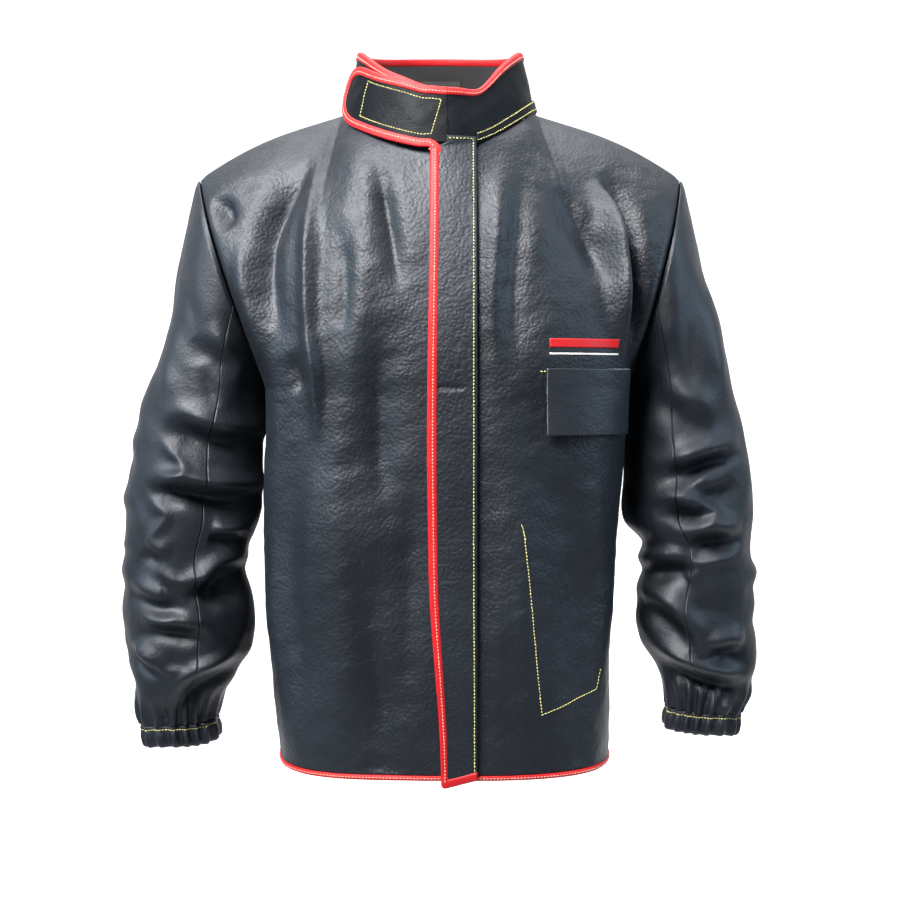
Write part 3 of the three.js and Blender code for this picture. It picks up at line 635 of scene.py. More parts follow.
def new_material(name, roughness, colour, **extra):
    found = bpy.data.materials.get(name)
    if found:
        return found, None, None
    material = bpy.data.materials.new(name)
    material.use_nodes = True
    tree = material.node_tree
    shader = tree.nodes["Principled BSDF"]
    shader.inputs["Base Color"].default_value = linear(colour)
    shader.inputs["Roughness"].default_value = roughness
    shader.inputs["IOR"].default_value = 1.5
    for key, value in extra.items():
        shader.inputs[key].default_value = value
    return material, tree, shader


def fine_finish(name, roughness, colour, pattern, output, strength, distance, extra=None, **settings):
    """A plain finish with one fine pattern raised on it."""
    material, tree, shader = new_material(name, roughness, colour, **(extra or {}))
    if tree is None:
        return material
    place = node(tree, "ShaderNodeTexCoord").outputs["Object"]
    fine = node(tree, pattern, {"Vector": place}, **settings)
    raise_pattern(tree, shader, fine.outputs[output], strength, distance)
    return material


def raise_pattern(tree, shader, height, strength, distance):
    bump = node(tree, "ShaderNodeBump", {"Height": height}, Strength=strength, Distance=distance)
    tree.links.new(bump.outputs["Normal"], shader.inputs["Normal"])


def ramp(tree, source, low, high, dark, light):
    made = node(tree, "ShaderNodeMapRange", {"Value": source}, **{
        "From Min": low, "From Max": high, "To Min": dark, "To Max": light})
    return made.outputs["Result"]


def grain_leather(name, pebble, depth, colour, worn, roughness=0.55, wrinkle=0.0007, gloss=0.68):
    """Drum-dyed full-grain cowhide with a satin finish: wrinkles, pebbles, fine pores and a soft gloss."""
    material, tree, shader = new_material(name, roughness, colour)
    if tree is None:
        return material
    shader.inputs["Specular IOR Level"].default_value = gloss
    shader.inputs["Specular Tint"].default_value = (0.8, 0.9, 1.0, 1)
    place = node(tree, "ShaderNodeTexCoord").outputs["Object"]
    drift = node(tree, "ShaderNodeTexNoise", {"Vector": place}, Scale=70, Detail=3)
    bent = node(tree, "ShaderNodeVectorMath", {0: drift.outputs["Color"]}, operation="SCALE", Scale=0.004)
    moved = node(tree, "ShaderNodeVectorMath", {0: place, 1: bent.outputs[0]}, operation="ADD").outputs[0]
    wrinkles = node(tree, "ShaderNodeTexNoise", {"Vector": moved}, Scale=42, Detail=5, Roughness=0.55,
                    Distortion=0.4)
    low_bump = node(tree, "ShaderNodeBump", {"Height": wrinkles.outputs["Fac"]}, Strength=0.8,
                    Distance=wrinkle * 2)
    pebbles = node(tree, "ShaderNodeTexVoronoi", {"Vector": moved}, Scale=1 / pebble,
                   feature="SMOOTH_F1", Smoothness=0.5)
    pores = node(tree, "ShaderNodeTexNoise", {"Vector": place}, Scale=700, Detail=3, Roughness=0.6)
    height = node(tree, "ShaderNodeMath", {0: pores.outputs["Fac"], 2: pebbles.outputs["Distance"]},
                  operation="MULTIPLY_ADD")
    height.inputs[1].default_value = -0.35
    below = {"Height": height.outputs[0], "Normal": low_bump.outputs["Normal"]}
    high_bump = node(tree, "ShaderNodeBump", below, Strength=0.8, Distance=depth, invert=True)
    tree.links.new(high_bump.outputs["Normal"], shader.inputs["Normal"])
    patches = node(tree, "ShaderNodeTexNoise", {"Vector": place}, Scale=9, Detail=5, Roughness=0.6)
    blend = node(tree, "ShaderNodeMix", {0: ramp(tree, patches.outputs["Fac"], 0.35, 0.7, 0.0, 1.0)},
                 data_type="RGBA")
    blend.inputs[6].default_value = linear(colour)
    blend.inputs[7].default_value = linear(worn)
    tree.links.new(blend.outputs[2], shader.inputs["Base Color"])
    tree.links.new(ramp(tree, patches.outputs["Fac"], 0.3, 0.75, roughness - 0.05, roughness + 0.07),
                   shader.inputs["Roughness"])
    return material


def body_leather():
    scene = bpy.context.scene
    grain, dye = scene.jacket_sizes.grain, scene.jacket_colours.leather
    return grain_leather("pebbled_cowhide", grain, 0.0006, dye, "#0B131D")


def sleeve_leather():
    scene = bpy.context.scene
    grain, dye = scene.jacket_sizes.grain * 0.8, scene.jacket_colours.leather
    return grain_leather("smooth_cowhide", grain, 0.00022, dye, "#0A111B", 0.56, 0.0007)


def flap_leather():
    return grain_leather("stiff_cowhide", 0.0024, 0.0003, "#1B2027", "#22282F", 0.5, 0.0006, 0.6)


def collar_leather():
    return grain_leather("collar_cowhide", 0.0026, 0.0003, "#070A0E", "#0B0F14", 0.52, 0.0006, 0.14)


SUEDE_SHEEN = {"Sheen Weight": 0.35, "Sheen Roughness": 0.5}
CLOTH_SHEEN = {"Sheen Weight": 0.2, "Sheen Roughness": 0.5}


def cut_edge():
    """The raw cut edge of dyed leather: paler fibres from the middle of the hide."""
    return fine_finish("raw_cut_edge", 0.85, "#7D868B", "ShaderNodeTexNoise", "Fac", 0.7, 0.0003,
                       Scale=1500, Detail=4)


def suede():
    """The flesh side of the hide: a short matte nap."""
    return fine_finish("flesh_side_suede", 0.95, "#24262A", "ShaderNodeTexNoise", "Fac", 0.6, 0.0005,
                       SUEDE_SHEEN, Scale=1100, Detail=6, Roughness=0.7)


def binding_leather():
    """Red coated binding tape: a fine even grain and a dull gloss."""
    material, tree, shader = new_material("red_binding_tape", 0.55, bpy.context.scene.jacket_colours.binding)
    if tree is None:
        return material
    place = node(tree, "ShaderNodeTexCoord").outputs["Object"]
    grain = node(tree, "ShaderNodeTexVoronoi", {"Vector": place}, Scale=900)
    raise_pattern(tree, shader, grain.outputs["Distance"], 0.35, 0.0003)
    soil = node(tree, "ShaderNodeTexNoise", {"Vector": place}, Scale=45, Detail=5)
    soiled = ramp(tree, soil.outputs["Fac"], 0.4, 0.75, 0.0, 0.45)
    tone = node(tree, "ShaderNodeMix", {0: soiled}, data_type="RGBA")
    tone.inputs[6].default_value = linear(bpy.context.scene.jacket_colours.binding)
    tone.inputs[7].default_value = linear("#A80C12")
    tree.links.new(tone.outputs[2], shader.inputs["Base Color"])
    return material


def sewing_thread(name, colour):
    """Spun aramid thread: dull, with the twist of its plies."""
    return fine_finish(name, 0.7, colour, "ShaderNodeTexWave", "Fac", 0.4, 0.0001, Scale=1400, Distortion=2.0)


def woven(name, colour, pitch, roughness=0.9, depth=0.0003):
    """Woven or knitted cloth: crossed yarns at their real spacing."""
    material, tree, shader = new_material(name, roughness, colour, **CLOTH_SHEEN)
    if tree is None:
        return material
    place = node(tree, "ShaderNodeTexCoord").outputs["Object"]
    warp = node(tree, "ShaderNodeTexWave", {"Vector": place}, Scale=0.5 / pitch, bands_direction="X")
    weft = node(tree, "ShaderNodeTexWave", {"Vector": place}, Scale=0.5 / pitch, bands_direction="Z")
    both = node(tree, "ShaderNodeMath", {0: warp.outputs["Fac"], 1: weft.outputs["Fac"]}, operation="MULTIPLY")
    raise_pattern(tree, shader, both.outputs[0], 0.6, depth)
    return material


def hook_tape():
    return woven("nylon_hook_tape", "#101113", 0.0016, depth=0.0007)


def print_ink(name, colour):
    """Flexible screen print on the leather: a thin film that shows the grain below."""
    return fine_finish(name, 0.5, colour, "ShaderNodeTexVoronoi", "Distance", 0.3, 0.0003,
                       Scale=420, feature="SMOOTH_F1")


def yellow_thread():
    return sewing_thread("yellow_aramid_thread", bpy.context.scene.jacket_colours.thread)


def pink_thread():
    return sewing_thread("pale_pink_thread", "#F2B0A0")


# ---- Body ----
def front_points(side, rows=250, columns=130, folded=True):
    lower = np.linspace(0.0225, 1, rows // 2, endpoint=False)
    v = np.concatenate((lower, np.linspace(1, 1.997, rows - rows // 2)))
    a = np.linspace(0, 1, columns)
    join = np.full(rows, FRONT_JOIN_X + side * 0.4)
    start = solve(join, 0, 1, lambda u: body(LEFT, FRONT, u, v)[..., 0])
    start = start if side == LEFT else -start
    u = start[:, None] + (0.9985 - start[:, None]) * a[None, :]
    v = np.broadcast_to(v[:, None], u.shape)
    own = body_surface(side, FRONT, np.maximum(u, 0), v, folded=folded)
    other = body_surface(LEFT, FRONT, np.maximum(-u, 0), v, folded=folded)
    return np.where((u < 0)[..., None], other, own)


def back_points(v, columns=260, folded=True):
    u = np.linspace(-0.9985, 0.9985, columns)[None, :]
    v = np.broadcast_to(v[:, None], (len(v), columns))
    u = np.broadcast_to(u, v.shape)
    right = body_surface(RIGHT, BACK, np.maximum(-u, 0), v, folded=folded)
    left = body_surface(LEFT, BACK, np.maximum(u, 0), v, folded=folded)
    return np.where((u < 0)[..., None], right, left)


class JACKET_OT_body(bpy.types.Operator):
    """Front panels, back panel and yoke, with the facings inside the front edges"""
    bl_idname = "jacket.body"
    bl_label = "Body panels"

    def execute(self, context):
        hide = body_leather()
        for side, name in ((RIGHT, "right"), (LEFT, "left")):
            points = front_points(side)
            piece = panel(f"{name}_front_leather", points, "shell", hide, LEATHER, [f"{name}_front_panel"])
            front_points(side, folded=False)
            edge = FRONT_JOIN_X + side * 1.5
            x, z = np.meshgrid(np.linspace(edge, edge + side * 55, 14), np.linspace(HEM_Z + 13, -36, 150))
            facing = on_front(x, z, -LEATHER - 1.2)
            inner = panel(f"{name}_facing_leather", facing, "shell", suede(), FACING_SUEDE,
                          [f"{name}_front_facing"])
            on_front(x, z, folded=False)
        lower = np.concatenate((np.linspace(0.0225, 1, 110, endpoint=False), np.linspace(1, 1.5485, 60)))
        for name, v in (("back_panel", lower), ("back_yoke", np.linspace(1.5515, 1.997, 70))):
            points = back_points(v)
            piece = panel(f"{name}_leather", points, "shell", hide, LEATHER, [name])
            back_points(v, folded=False)
        return {"FINISHED"}


# ---- Sleeves ----
def sleeve_bend(piece, side):
    """Bakes a sleeve piece's placement into its mesh."""
    tip, pit = shoulder_tip(side), armpit(side)
    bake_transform(piece)


def cuff_rings(side, drop, w, out):
    """Points of the cuff at a drop below the sleeve's end, pulled in by the elastic."""
    outer, inner, depth, point = sleeve_rings(side, np.ones_like(w))
    centre = (outer + inner) / 2
    down = unit(np.array((-side * 0.16, 0, -1.0)))
    shrink = 1 - 0.03 * drop / CUFF_LENGTH
    p = ring_points(outer, inner, depth, point, w)
    away = unit(p - centre)
    ruffle = np.cos(2 * math.pi * 17 * w + 1.6 * np.sin(2 * math.pi * 3 * w))
    height = 1.5 * waves(p, 60, 41)
    lift = 2.6 * ruffle * (1 - 0.35 * np.exp(-(((drop - 5) / 4) ** 2))) + out
    drawn_in = centre + (p - centre) * shrink[..., None]
    return drawn_in + away * lift[..., None] + down * (drop + height)[..., None]


class JACKET_OT_sleeves(bpy.types.Operator):
    """Two-piece sleeves with gathered elastic cuffs"""
    bl_idname = "jacket.sleeves"
    bl_label = "Sleeves and cuffs"

    def execute(self, context):
        hide = sleeve_leather()
        for side, name in ((RIGHT, "right"), (LEFT, "left")):
            body_name = f"{name}_sleeve"
            s = np.linspace(0.002, 1, 330)[:, None]
            parts = (("upper", -SLEEVE_SEAM, SLEEVE_SEAM, 150),
                     ("under", SLEEVE_SEAM + 0.0008, 1 - SLEEVE_SEAM - 0.0008, 110))
            for part, low, high, columns in parts:
                w = np.linspace(low, high, columns)[None, :]
                points = sleeve_surface(side, s, w)
                away = np.array((side if part == "upper" else -side, 0.0, 0.0))
                piece = panel(f"{name}_{part}_sleeve_leather", points, None, hide, SLEEVE_LEATHER,
                              [f"{name}_{part}_sleeve"], outward=away)
                sleeve_surface(side, s, w, folded=False)
                sleeve_bend(piece, side)
            self.cuff(side, name, body_name, hide)
        return {"FINISHED"}

    def cuff(self, side, name, body_name, hide):
        turn = np.arange(340) / 340
        profile = ((1, -0.6), (3, 0.4), (5, -0.4), (7, 0.6), (12, 1.2), (18, 1.2), (22, 0.6), (24, -1.5),
                   (23, -4), (18, -5), (10, -5), (1, -5))
        drop = np.array([p[0] for p in profile], float)[:, None] + 0 * turn[None, :]
        out = np.array([p[1] for p in profile], float)[:, None] + 0 * turn[None, :]
        w = np.broadcast_to(turn[None, :], drop.shape)
        points = cuff_rings(side, drop, w, out)
        faces = grid_faces(len(profile) + 1, len(turn), closed=True) % (len(profile) * len(turn))
        casing = add_mesh(f"{name}_cuff_leather", points, faces, body_name, hide, [f"{name}_cuff_casing"])
        add_caps(casing, [])
        row = cuff_rings(side, np.full_like(turn, 5.0), turn, np.full_like(turn, -0.1))
        row = np.concatenate((row, row[:1]))
        centre = row.mean(axis=0)
        stitch_row(f"{name}_cuff_stitches", row, unit(row - centre), body_name, yellow_thread())


# ---- Collar ----
TAB_LOW, TAB_HIGH = 4.8, 6.8
TAB_REACH = 38


def tab_surface(arc, height, out):
    """The collar tab: arc length towards the wearer's right and height above the neck seam."""
    arc = np.asarray(arc, float)
    droop = 2 * smooth(6, 20, arc) + 8 * smooth(20, 125, arc)
    return collar(-arc / ARC, (np.asarray(height, float) - droop) / COLLAR_HEIGHT, out)


def tab_outline(inset=0.0, step=2.5):
    end = TAB_LENGTH - TAB_ROOT - inset
    low, high = 2 + inset, COLLAR_HEIGHT - inset
    radius = COLLAR_HEIGHT * 0.4 - inset
    reach = TAB_REACH - inset
    top = [(x, high) for x in np.arange(-TAB_ROOT - 4, end - reach, step)]
    angles = np.linspace(0, math.pi / 2, 10)
    upper = [(end - reach + reach * math.sin(a), high - radius + radius * math.cos(a)) for a in angles]
    lower = [(end - reach + reach * math.cos(a), low + radius - radius * math.sin(a)) for a in angles]
    bottom = [(x, low) for x in np.arange(end - reach - step, 13, -step)]
    foot = [(11.0, low - 0.4), (8.6, low - 1.6), (6.6, low - 3.6), (5.2, low - 6.0), (4.6 + inset, low - 9.0)]
    return np.array(top + upper + lower + bottom + foot)


def stand_out(angle):
    """The stand swells towards its front end, where the tab grows out of it."""
    return (TAB_HIGH - 0.4) * smooth(62 / ARC, 6 / ARC, angle)


class JACKET_OT_collar(bpy.types.Operator):
    """Stand collar with its facing, seam band, red binding and the lapped tab"""
    bl_idname = "jacket.collar"
    bl_label = "Collar and tab"

    def execute(self, context):
        hide = collar_leather()
        start, end = TAB_ROOT / ARC, 2 * math.pi - 2 / ARC
        angle = np.linspace(start, end, 260)[None, :]
        edge = 1 - BINDING_WIDTH * 0.5 / COLLAR_HEIGHT
        k = np.linspace(0.0, edge, 26)[:, None]
        away = np.array((0, 1.0, 0))
        stand = collar(angle, k, stand_out(angle) + 0 * k)
        piece = panel("collar_stand_leather", stand, "shell", hide, COLLAR_LEATHER, ["collar_stand"],
                      outward=away)
        collar(angle, k)
        facing = collar(angle, k, -2.4)
        piece = panel("collar_facing_leather", facing, "shell", suede(), COLLAR_SUEDE, ["collar_facing"],
                      outward=away)
        band_angle = np.linspace((FLAP_ROOT_X + 1) / ARC, end - 45 / ARC, 240)[None, :]
        height = np.linspace(0.03, 0.2, 12)[:, None]
        crown = 1.9 + 0.5 * np.sin(np.linspace(0, math.pi, 12))[:, None] + stand_out(band_angle)
        band = collar(band_angle, height, crown)
        panel("collar_seam_band_leather", band, "shell", hide, 1.6, ["collar_seam_band"], outward=away)
        for k_row in (0.055, 0.175):
            path = collar(band_angle[0], np.full(band_angle.shape[1], k_row), 2.4 + stand_out(band_angle[0]))
            stitch_row(f"collar_band_stitches_{k_row:.3f}", path, outward_of(path), "shell", yellow_thread())
        self.top_binding(start, end)
        self.tab(hide)
        return {"FINISHED"}

    def top_binding(self, start, end):
        angles = np.linspace(start, end, 280)
        outline = np.stack((angles * ARC, np.full_like(angles, COLLAR_HEIGHT)), -1)[::-1]
        surface = lambda arc, height, out: collar(arc / ARC, height / COLLAR_HEIGHT, out + stand_out(arc / ARC))
        binding("collar_binding_tape", outline, surface, "shell", binding_leather(), ["collar_binding"],
                -4.6, 1.6)
        path = collar(angles, np.full_like(angles, 1 - 5.4 / COLLAR_HEIGHT), 1.6 + stand_out(angles))
        stitch_row("collar_binding_stitches", path, outward_of(path), "shell", pink_thread())

    def tab(self, hide):
        arcs = np.linspace(-TAB_ROOT - 4, TAB_LENGTH - TAB_ROOT - 4, 90)
        end, radius, reach = TAB_LENGTH - TAB_ROOT - 4, COLLAR_HEIGHT * 0.4 - 4, TAB_REACH - 4
        into = np.minimum(np.maximum(reach - (end - arcs), 0) / reach, 1)
        half = (COLLAR_HEIGHT - 2) / 2 - 4 - radius + radius * np.sqrt(1 - into**2)
        h = np.linspace(-1, 1, 30)[:, None]
        height = 34 + h * half[None, :]
        points = tab_surface(np.broadcast_to(arcs, height.shape), height, np.full(height.shape, TAB_HIGH))
        leather = panel("collar_tab_leather", points, None, hide, COLLAR_LEATHER, ["collar_tab"],
                      outward=np.array((-0.5, -1.0, 0)))
        edge = binding("tab_binding_tape", tab_outline()[::-1], tab_surface, None, binding_leather(),
                       ["tab_binding"], TAB_LOW - 0.8, TAB_HIGH + 1.4)
        inner = tab_outline(inset=5.4)
        path = tab_surface(inner[:, 0], inner[:, 1], TAB_HIGH + 1.4)
        row = stitch_row("tab_binding_stitches", path, outward_of(path), None, pink_thread())
        corners = ((-2, 52), (86, 54), (89, 16), (8, 15), (-2, 52))
        box = np.concatenate([np.linspace(a, b, 30) for a, b in zip(corners[:-1], corners[1:])])
        path = tab_surface(box[:, 0], box[:, 1], TAB_HIGH + 0.1)
        box_row = stitch_row("tab_box_stitches", path, outward_of(path), None, yellow_thread())
        a, h = np.meshgrid(np.linspace(80, 116, 16), np.linspace(18, 50, 12))
        hooks = tab_surface(a, h, np.full(a.shape, TAB_HIGH - COLLAR_LEATHER - 0.4))
        tape = panel("tab_hook_tape", hooks, None, hook_tape(), 1.0, ["tab_hook_patch"],
                     outward=np.array((-1.0, -0.3, 0)))
        for piece in (leather, edge, row, box_row, tape):
            start, end = tab_surface(-12, 30, 0.0), tab_surface(14, 30, 0.0)
            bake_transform(piece)


# ---- Storm flap ----
FLAP_LOW, FLAP_HIGH = 4.4, 6.8
FLAP_TOP_Z = NECK_FRONT_Z + 10


def on_flap(x, z, out, folded=True):
    """The storm flap's own shape: its free edge wanders in and hangs lower towards the hem."""
    x, z = np.broadcast_arrays(np.asarray(x, float), np.asarray(z, float))
    free = (FLAP_ROOT_X - x) / (FLAP_ROOT_X + BINDING_WIDTH)
    wander = 11 * smooth(-440, HEM_Z, z) - 2.5 * np.sin(smooth(-60, -560, z) * math.pi)
    drop = (3 * free - 6 * (1 - free)) * smooth(-600, HEM_Z, z)
    return on_front(x + wander * free, z - drop, out, folded)


def flap_bend(piece):
    """Bakes a storm flap piece's placement into its mesh."""
    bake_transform(piece)


class JACKET_OT_storm_flap(bpy.types.Operator):
    """Storm flap over the front opening, with its binding and stitching"""
    bl_idname = "jacket.storm_flap"
    bl_label = "Storm flap"

    def execute(self, context):
        low_z = HEM_Z - FLAP_DROP
        share, z = np.meshgrid(np.linspace(0, 1, 26), np.linspace(low_z + 4, FLAP_TOP_Z, 330))
        free = -6 + 14 * smooth(NECK_FRONT_Z - 3, NECK_FRONT_Z + 4, z)
        x = free + (FLAP_ROOT_X - free) * share
        crease = -1.3 * np.exp(-(((z + 262) / 2.6) ** 2)) * smooth(-6, 2, x) * smooth(30, 22, x)
        bow = 0.8 * np.sin((x + 9) / 46 * math.pi)
        points = on_flap(x, z, FLAP_HIGH + crease + bow)
        flap = panel("storm_flap_leather", points, None, body_leather(), LEATHER, ["storm_flap"])
        on_flap(x, z, 0.0, folded=False)
        zs = np.linspace(NECK_FRONT_Z - 2, low_z, 300)
        turn = np.linspace(0, math.pi / 2, 8)[1:-1]
        left = -BINDING_WIDTH
        corner = [(left + 6 - 6 * math.cos(a), low_z + 6 - 6 * math.sin(a)) for a in turn]
        down = [(left, q) for q in zs if q > low_z + 6]
        foot = [(q, low_z) for q in np.linspace(left + 6, FLAP_ROOT_X, 16)]
        edge = binding("flap_binding_tape", down + corner + foot, on_flap, None, binding_leather(),
                       ["flap_binding"], FLAP_LOW - 0.8, FLAP_HIGH + 1.6)
        q = np.linspace(NECK_FRONT_Z - 4, low_z + 6, 260)
        path = on_flap(np.full_like(q, left + 5.2), q, FLAP_HIGH + 1.6)
        seam = stitch_row("flap_binding_stitches", path, outward_of(path), None, pink_thread())
        q = np.linspace(FLAP_TOP_Z - 2, low_z + 6, 260)
        sew = on_flap(np.full_like(q, FLAP_ROOT_X - 3.2), q, FLAP_HIGH + 0.4)
        long_row = stitch_row("flap_root_stitches", sew, outward_of(sew), None, yellow_thread())
        across = np.linspace(9, FLAP_ROOT_X - 3.2, 30)
        top = on_flap(across, np.full_like(across, FLAP_TOP_Z - 2.5), FLAP_HIGH + 0.7)
        top_row = stitch_row("flap_top_stitches", top, outward_of(top), None, yellow_thread())
        for piece in (flap, edge, seam, long_row, top_row):
            flap_bend(piece)
        return {"FINISHED"}


# ---- Pockets and chest mark ----
def pocket_edges():
    outer = HALF_WIDTHS[2] + SHIFTS[2] - POCKET_FLAP["side_inset"]
    return outer - POCKET_FLAP["width"], outer


class JACKET_OT_pockets(bpy.types.Operator):
    """Breast pocket with its flap, the inner pocket and two plain printed stripes above the flap"""
    bl_idname = "jacket.pockets"
    bl_label = "Pockets"

    def execute(self, context):
        inner_x, outer_x = pocket_edges()
        top, height = POCKET_FLAP["top_z"], POCKET_FLAP["height"]
        x, z = np.meshgrid(np.linspace(inner_x, outer_x, 60), np.linspace(top - height, top, 48))
        lift = 6.4 + 1.8 * smooth(top, top - height, z) + 0.8 * np.sin((x - inner_x) / 84 * math.pi)
        points = on_front(x, z, lift)
        flap = panel("pocket_flap_leather", points, None, flap_leather(), POCKET_LEATHER, ["pocket_flap"],
                     rim=cut_edge())
        on_front(x, z, folded=False)
        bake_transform(flap)
        twill = woven("cotton_pocket_twill", "#2E3034", 0.0012)
        self.bag("breast_pocket_cloth", "breast_pocket_bag", (inner_x + 4, top - 130), (outer_x - 6, top - 8),
                 twill, "pocket_cloth")
        self.bag("inner_pocket_leather", "inner_pocket_bag", (84, -568), (160, -396), suede(), "black_leather")
        self.seams(inner_x, top)
        self.stripe(inner_x, top)
        return {"FINISHED"}

    def bag(self, name, node_name, low, high, look, slot):
        """A pocket bag behind the left front, bellied out between its side edges."""
        x, z = np.meshgrid(np.linspace(low[0], high[0], 40), np.linspace(low[1], high[1], 60))
        belly = 1.5 * np.sin((x - low[0]) / (high[0] - low[0]) * math.pi)
        points = on_front(x, z, -BAG_DEPTH - belly)
        piece = panel(name, points, "shell", look, BAG_CLOTH, [node_name])
        on_front(x, z, folded=False)

    def seams(self, inner_x, top):
        thread = yellow_thread()
        corners = ((82, -402), (102, -586), (162, -568), (166, -548))
        line = np.concatenate([np.linspace(a, b, 50) for a, b in zip(corners[:-1], corners[1:])])
        path = on_front(line[:, 0], line[:, 1], 0.25)
        stitch_row("inner_pocket_stitches", path, outward_of(path), "shell", thread)
        bar = np.linspace((80, -396), (84, -412), 12)
        path = on_front(bar[:, 0], bar[:, 1], 0.3)
        stitch_row("inner_pocket_bartack", path, outward_of(path), "shell", thread, pitch=0.0016)
        tick = np.linspace((inner_x - 6, top - 3), (inner_x + 1, top - 3), 6)
        path = on_front(tick[:, 0], tick[:, 1], 0.4)
        stitch_row("pocket_corner_stitches", path, outward_of(path), "shell", thread)

    def stripe(self, inner_x, top):
        bars = (("chest_stripe_wide", "#B8141C", top + 21, 9),
                ("chest_stripe_narrow", "#E4E4E2", top + 14, 1.8))
        for name, colour, low, high in bars:
            x, z = np.meshgrid(np.linspace(inner_x + 4, inner_x + 74, 40), np.linspace(low, low + high, 8))
            points = on_front(x, z, 0.35)
            panel(name, points, "shell", print_ink(name + "_ink", colour), 0.3)


# ---- Hem ----
class JACKET_OT_hem(bpy.types.Operator):
    """Red binding round the hem"""
    bl_idname = "jacket.hem"
    bl_label = "Hem binding"

    def execute(self, context):
        count = 120
        ends = np.array((FRONT_JOIN_X - 2.0, FRONT_JOIN_X + 2.0))
        first, last = solve(ends, 0, 1, lambda u: body(LEFT, FRONT, u, np.zeros_like(u))[..., 0])
        legs = ((LEFT, FRONT, np.linspace(first, 0.004, 16)), (RIGHT, FRONT, np.linspace(0, 1, count)[1:]),
                (RIGHT, BACK, np.linspace(1, 0, count)[1:]), (LEFT, BACK, np.linspace(0, 1, count)[1:]),
                (LEFT, FRONT, np.linspace(1, last, count)[1:]))
        turn = tape_turn()
        rise = (0.0225 + 0.0012) * (0.5 + 0.5 * squircle(np.cos(turn)))
        out = (-LEATHER / 2 + 0.2) + squircle(np.sin(turn)) * (LEATHER / 2 + 1.3)
        points = np.concatenate([
            body_surface(side, face, u[:, None] + 0 * rise, rise + 0 * u[:, None], out + 0 * u[:, None])
            for side, face, u in legs])
        faces = grid_faces(len(points), TAPE_SIDES, closed=True)
        piece = add_mesh("hem_binding_tape", points, faces, "shell", binding_leather(), ["hem_binding"])
        add_caps(piece, tape_ends(len(points)))
        row = np.concatenate([body_surface(side, face, u, np.full_like(u, 0.0125), np.full_like(u, 1.5))
                              for side, face, u in legs])
        stitch_row("hem_binding_stitches", row, outward_of(row), "shell", pink_thread())
        return {"FINISHED"}


# ---- Neck details ----
class JACKET_OT_trims(bpy.types.Operator):
    """Hook and loop tapes, cuff elastic, hanger loop and blank label, finished in their own materials"""
    bl_idname = "jacket.trims"
    bl_label = "Tapes, elastic and label"

    def execute(self, context):
        looks = {
            hook_tape(): ("flap_hook_strip", "pocket_hook_patch"),
            woven("nylon_loop_tape", "#17181A", 0.0009, depth=0.0009):
                ("collar_loop_patch", "front_loop_strip", "pocket_loop_patch"),
            woven("braided_elastic", "#222326", 0.0015): ("right_cuff_elastic", "left_cuff_elastic"),
            woven("label_satin", "#303236", 0.0006, 0.6): ("size_label",),
            sleeve_leather(): ("hanger_loop",),
        }
        for material, names in looks.items():
            for name in names:
                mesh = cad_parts[name].data
                mesh.materials.clear()
                mesh.materials.append(material)
        return {"FINISHED"}


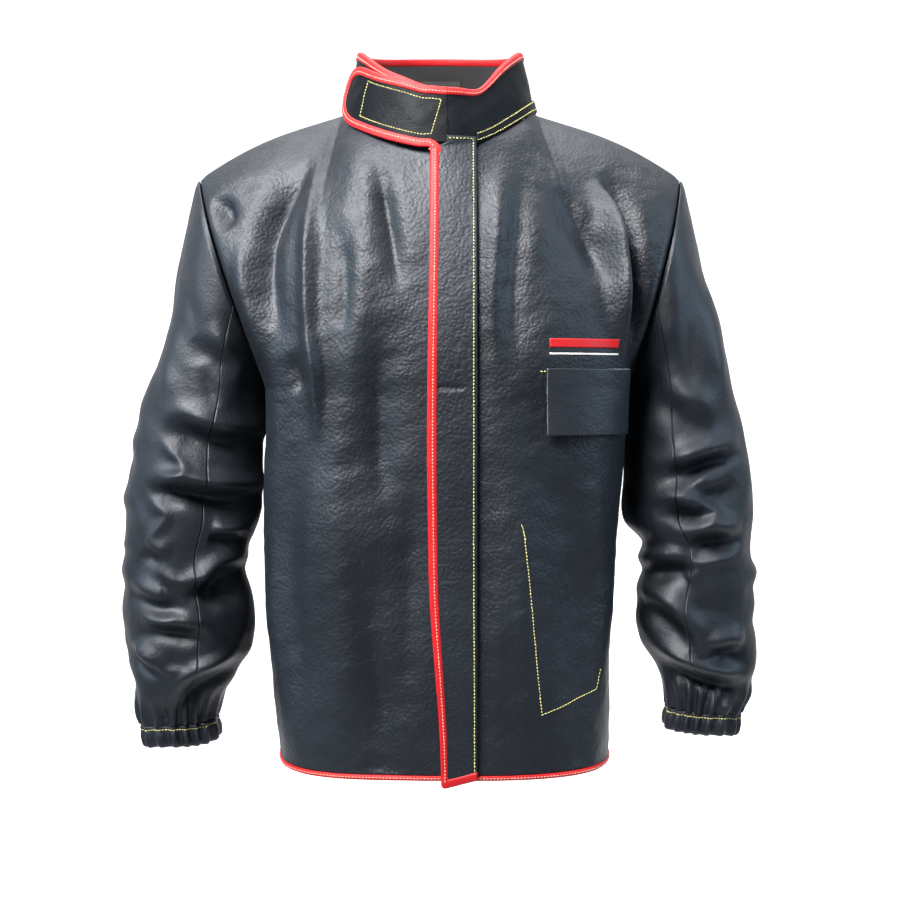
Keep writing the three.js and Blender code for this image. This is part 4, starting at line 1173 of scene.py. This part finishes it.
# ---- Stage ----
class JACKET_OT_stage(bpy.types.Operator):
    """Pale floor and backdrop, soft studio light and the camera"""
    bl_idname = "jacket.stage"
    bl_label = "Stage, light and camera"

    def execute(self, context):
        self.backdrop()
        self.lights()
        self.camera()
        return {"FINISHED"}

    def backdrop(self):
        profile = [(-4.5, 0.0), (1.2, 0.0)]
        bend = np.linspace(0, math.pi / 2, 16)[1:]
        profile += [(1.2 + 0.8 * math.sin(a), 0.8 - 0.8 * math.cos(a)) for a in bend]
        profile += [(2.0, 4.6)]
        vertices = [(x, y, z - 1.4) for x in (-4.5, 4.5) for y, z in profile]
        count = len(profile)
        faces = [(i, i + 1, count + i + 1, count + i) for i in range(count - 1)]
        mesh = bpy.data.meshes.new("studio_sweep")
        mesh.from_pydata(vertices, [], faces)
        mesh.shade_smooth()
        sweep = bpy.data.objects.new("studio_sweep", mesh)
        bpy.context.collection.objects.link(sweep)
        material, tree, shader = new_material("white_paper_sweep", 0.9, "#F4F4F4")
        shader.inputs["Emission Color"].default_value = (1, 1, 1, 1)
        place = node(tree, "ShaderNodeTexCoord").outputs["Object"]
        depth = node(tree, "ShaderNodeSeparateXYZ", {0: place}).outputs["Y"]
        tree.links.new(ramp(tree, depth, 0.5, 1.1, 0.0, 0.9), shader.inputs["Emission Strength"])
        mesh.materials.append(material)

    def lights(self):
        world = bpy.data.worlds.new("studio_air")
        world.use_nodes = True
        world.node_tree.nodes["Background"].inputs["Color"].default_value = (0.5, 0.74, 1.0, 1)
        world.node_tree.nodes["Background"].inputs["Strength"].default_value = 0.055
        bpy.context.scene.world = world
        soft_boxes = (
            ("key_softbox", (-0.85, -1.25, 1.3), (1.2, 0.9), 13.5, 42, (1.0, 0.91, 0.86), (-0.14, -0.1, -0.11)),
            ("overhead_softbox", (0.1, 0.25, 1.5), (1.8, 1.0), 15, 100, (1.0, 0.95, 0.92), (0, 0, -0.1)),
            ("left_softbox", (-1.8, -0.55, 0.35), (0.6, 1.4), 6, 100, (0.72, 0.87, 1.0), (0, 0, -0.3)),
            ("right_softbox", (1.8, -0.5, 0.45), (0.5, 1.4), 6, 100, (0.72, 0.87, 1.0), (0, 0, -0.3)),
        )
        for name, place, size, power, spread, colour, target in soft_boxes:
            light = bpy.data.lights.new(name, "AREA")
            light.shape = "RECTANGLE"
            light.size, light.size_y = size
            light.energy = power
            light.color = colour
            light.spread = math.radians(spread)
            lamp = bpy.data.objects.new(name, light)
            lamp.location = place
            direction = np.array(target) - np.array(place)
            lamp.rotation_euler = aim(direction)
            bpy.context.collection.objects.link(lamp)

    def camera(self):
        data = bpy.data.cameras.new("studio_camera")
        data.sensor_width = 36
        data.lens = 57.1
        data.shift_y = -0.0556
        camera = bpy.data.objects.new("studio_camera", data)
        camera.location = (0.0109, -1.55, -0.274)
        camera.rotation_euler = (math.pi / 2, 0, 0)
        bpy.context.collection.objects.link(camera)
        bpy.context.scene.camera = camera
        bpy.context.scene.view_settings.view_transform = "Standard"


def aim(direction):
    """The rotation that points a lamp along a direction."""
    from mathutils import Vector
    return Vector(direction).to_track_quat("-Z", "Y").to_euler()


class JACKET_PT_sidebar(bpy.types.Panel):
    """Lists the jacket's settings and the pieces it is built from"""
    bl_label = "Welding jacket"
    bl_idname = "JACKET_PT_sidebar"
    bl_space_type = "VIEW_3D"
    bl_region_type = "UI"
    bl_category = "Jacket"

    def draw(self, context):
        for group in (context.scene.jacket_sizes, context.scene.jacket_colours):
            for name in group.__annotations__:
                self.layout.prop(group, name)
        for operator in OPERATORS:
            self.layout.operator(operator.bl_idname)


OPERATORS = (JACKET_OT_body, JACKET_OT_sleeves, JACKET_OT_collar, JACKET_OT_storm_flap, JACKET_OT_pockets,
             JACKET_OT_hem, JACKET_OT_trims, JACKET_OT_stage)
CLASSES = (JacketSizes, JacketColours) + OPERATORS + (JACKET_PT_sidebar,)


def register():
    for item in CLASSES:
        bpy.utils.register_class(item)
    bpy.types.Scene.jacket_sizes = bpy.props.PointerProperty(type=JacketSizes)
    bpy.types.Scene.jacket_colours = bpy.props.PointerProperty(type=JacketColours)


def unregister():
    del bpy.types.Scene.jacket_colours
    del bpy.types.Scene.jacket_sizes
    for item in reversed(CLASSES):
        bpy.utils.unregister_class(item)


def main():
    register()
    for operator in OPERATORS:
        family, name = operator.bl_idname.split(".")
        getattr(getattr(bpy.ops, family), name)()


if __name__ == "__main__":
    main()
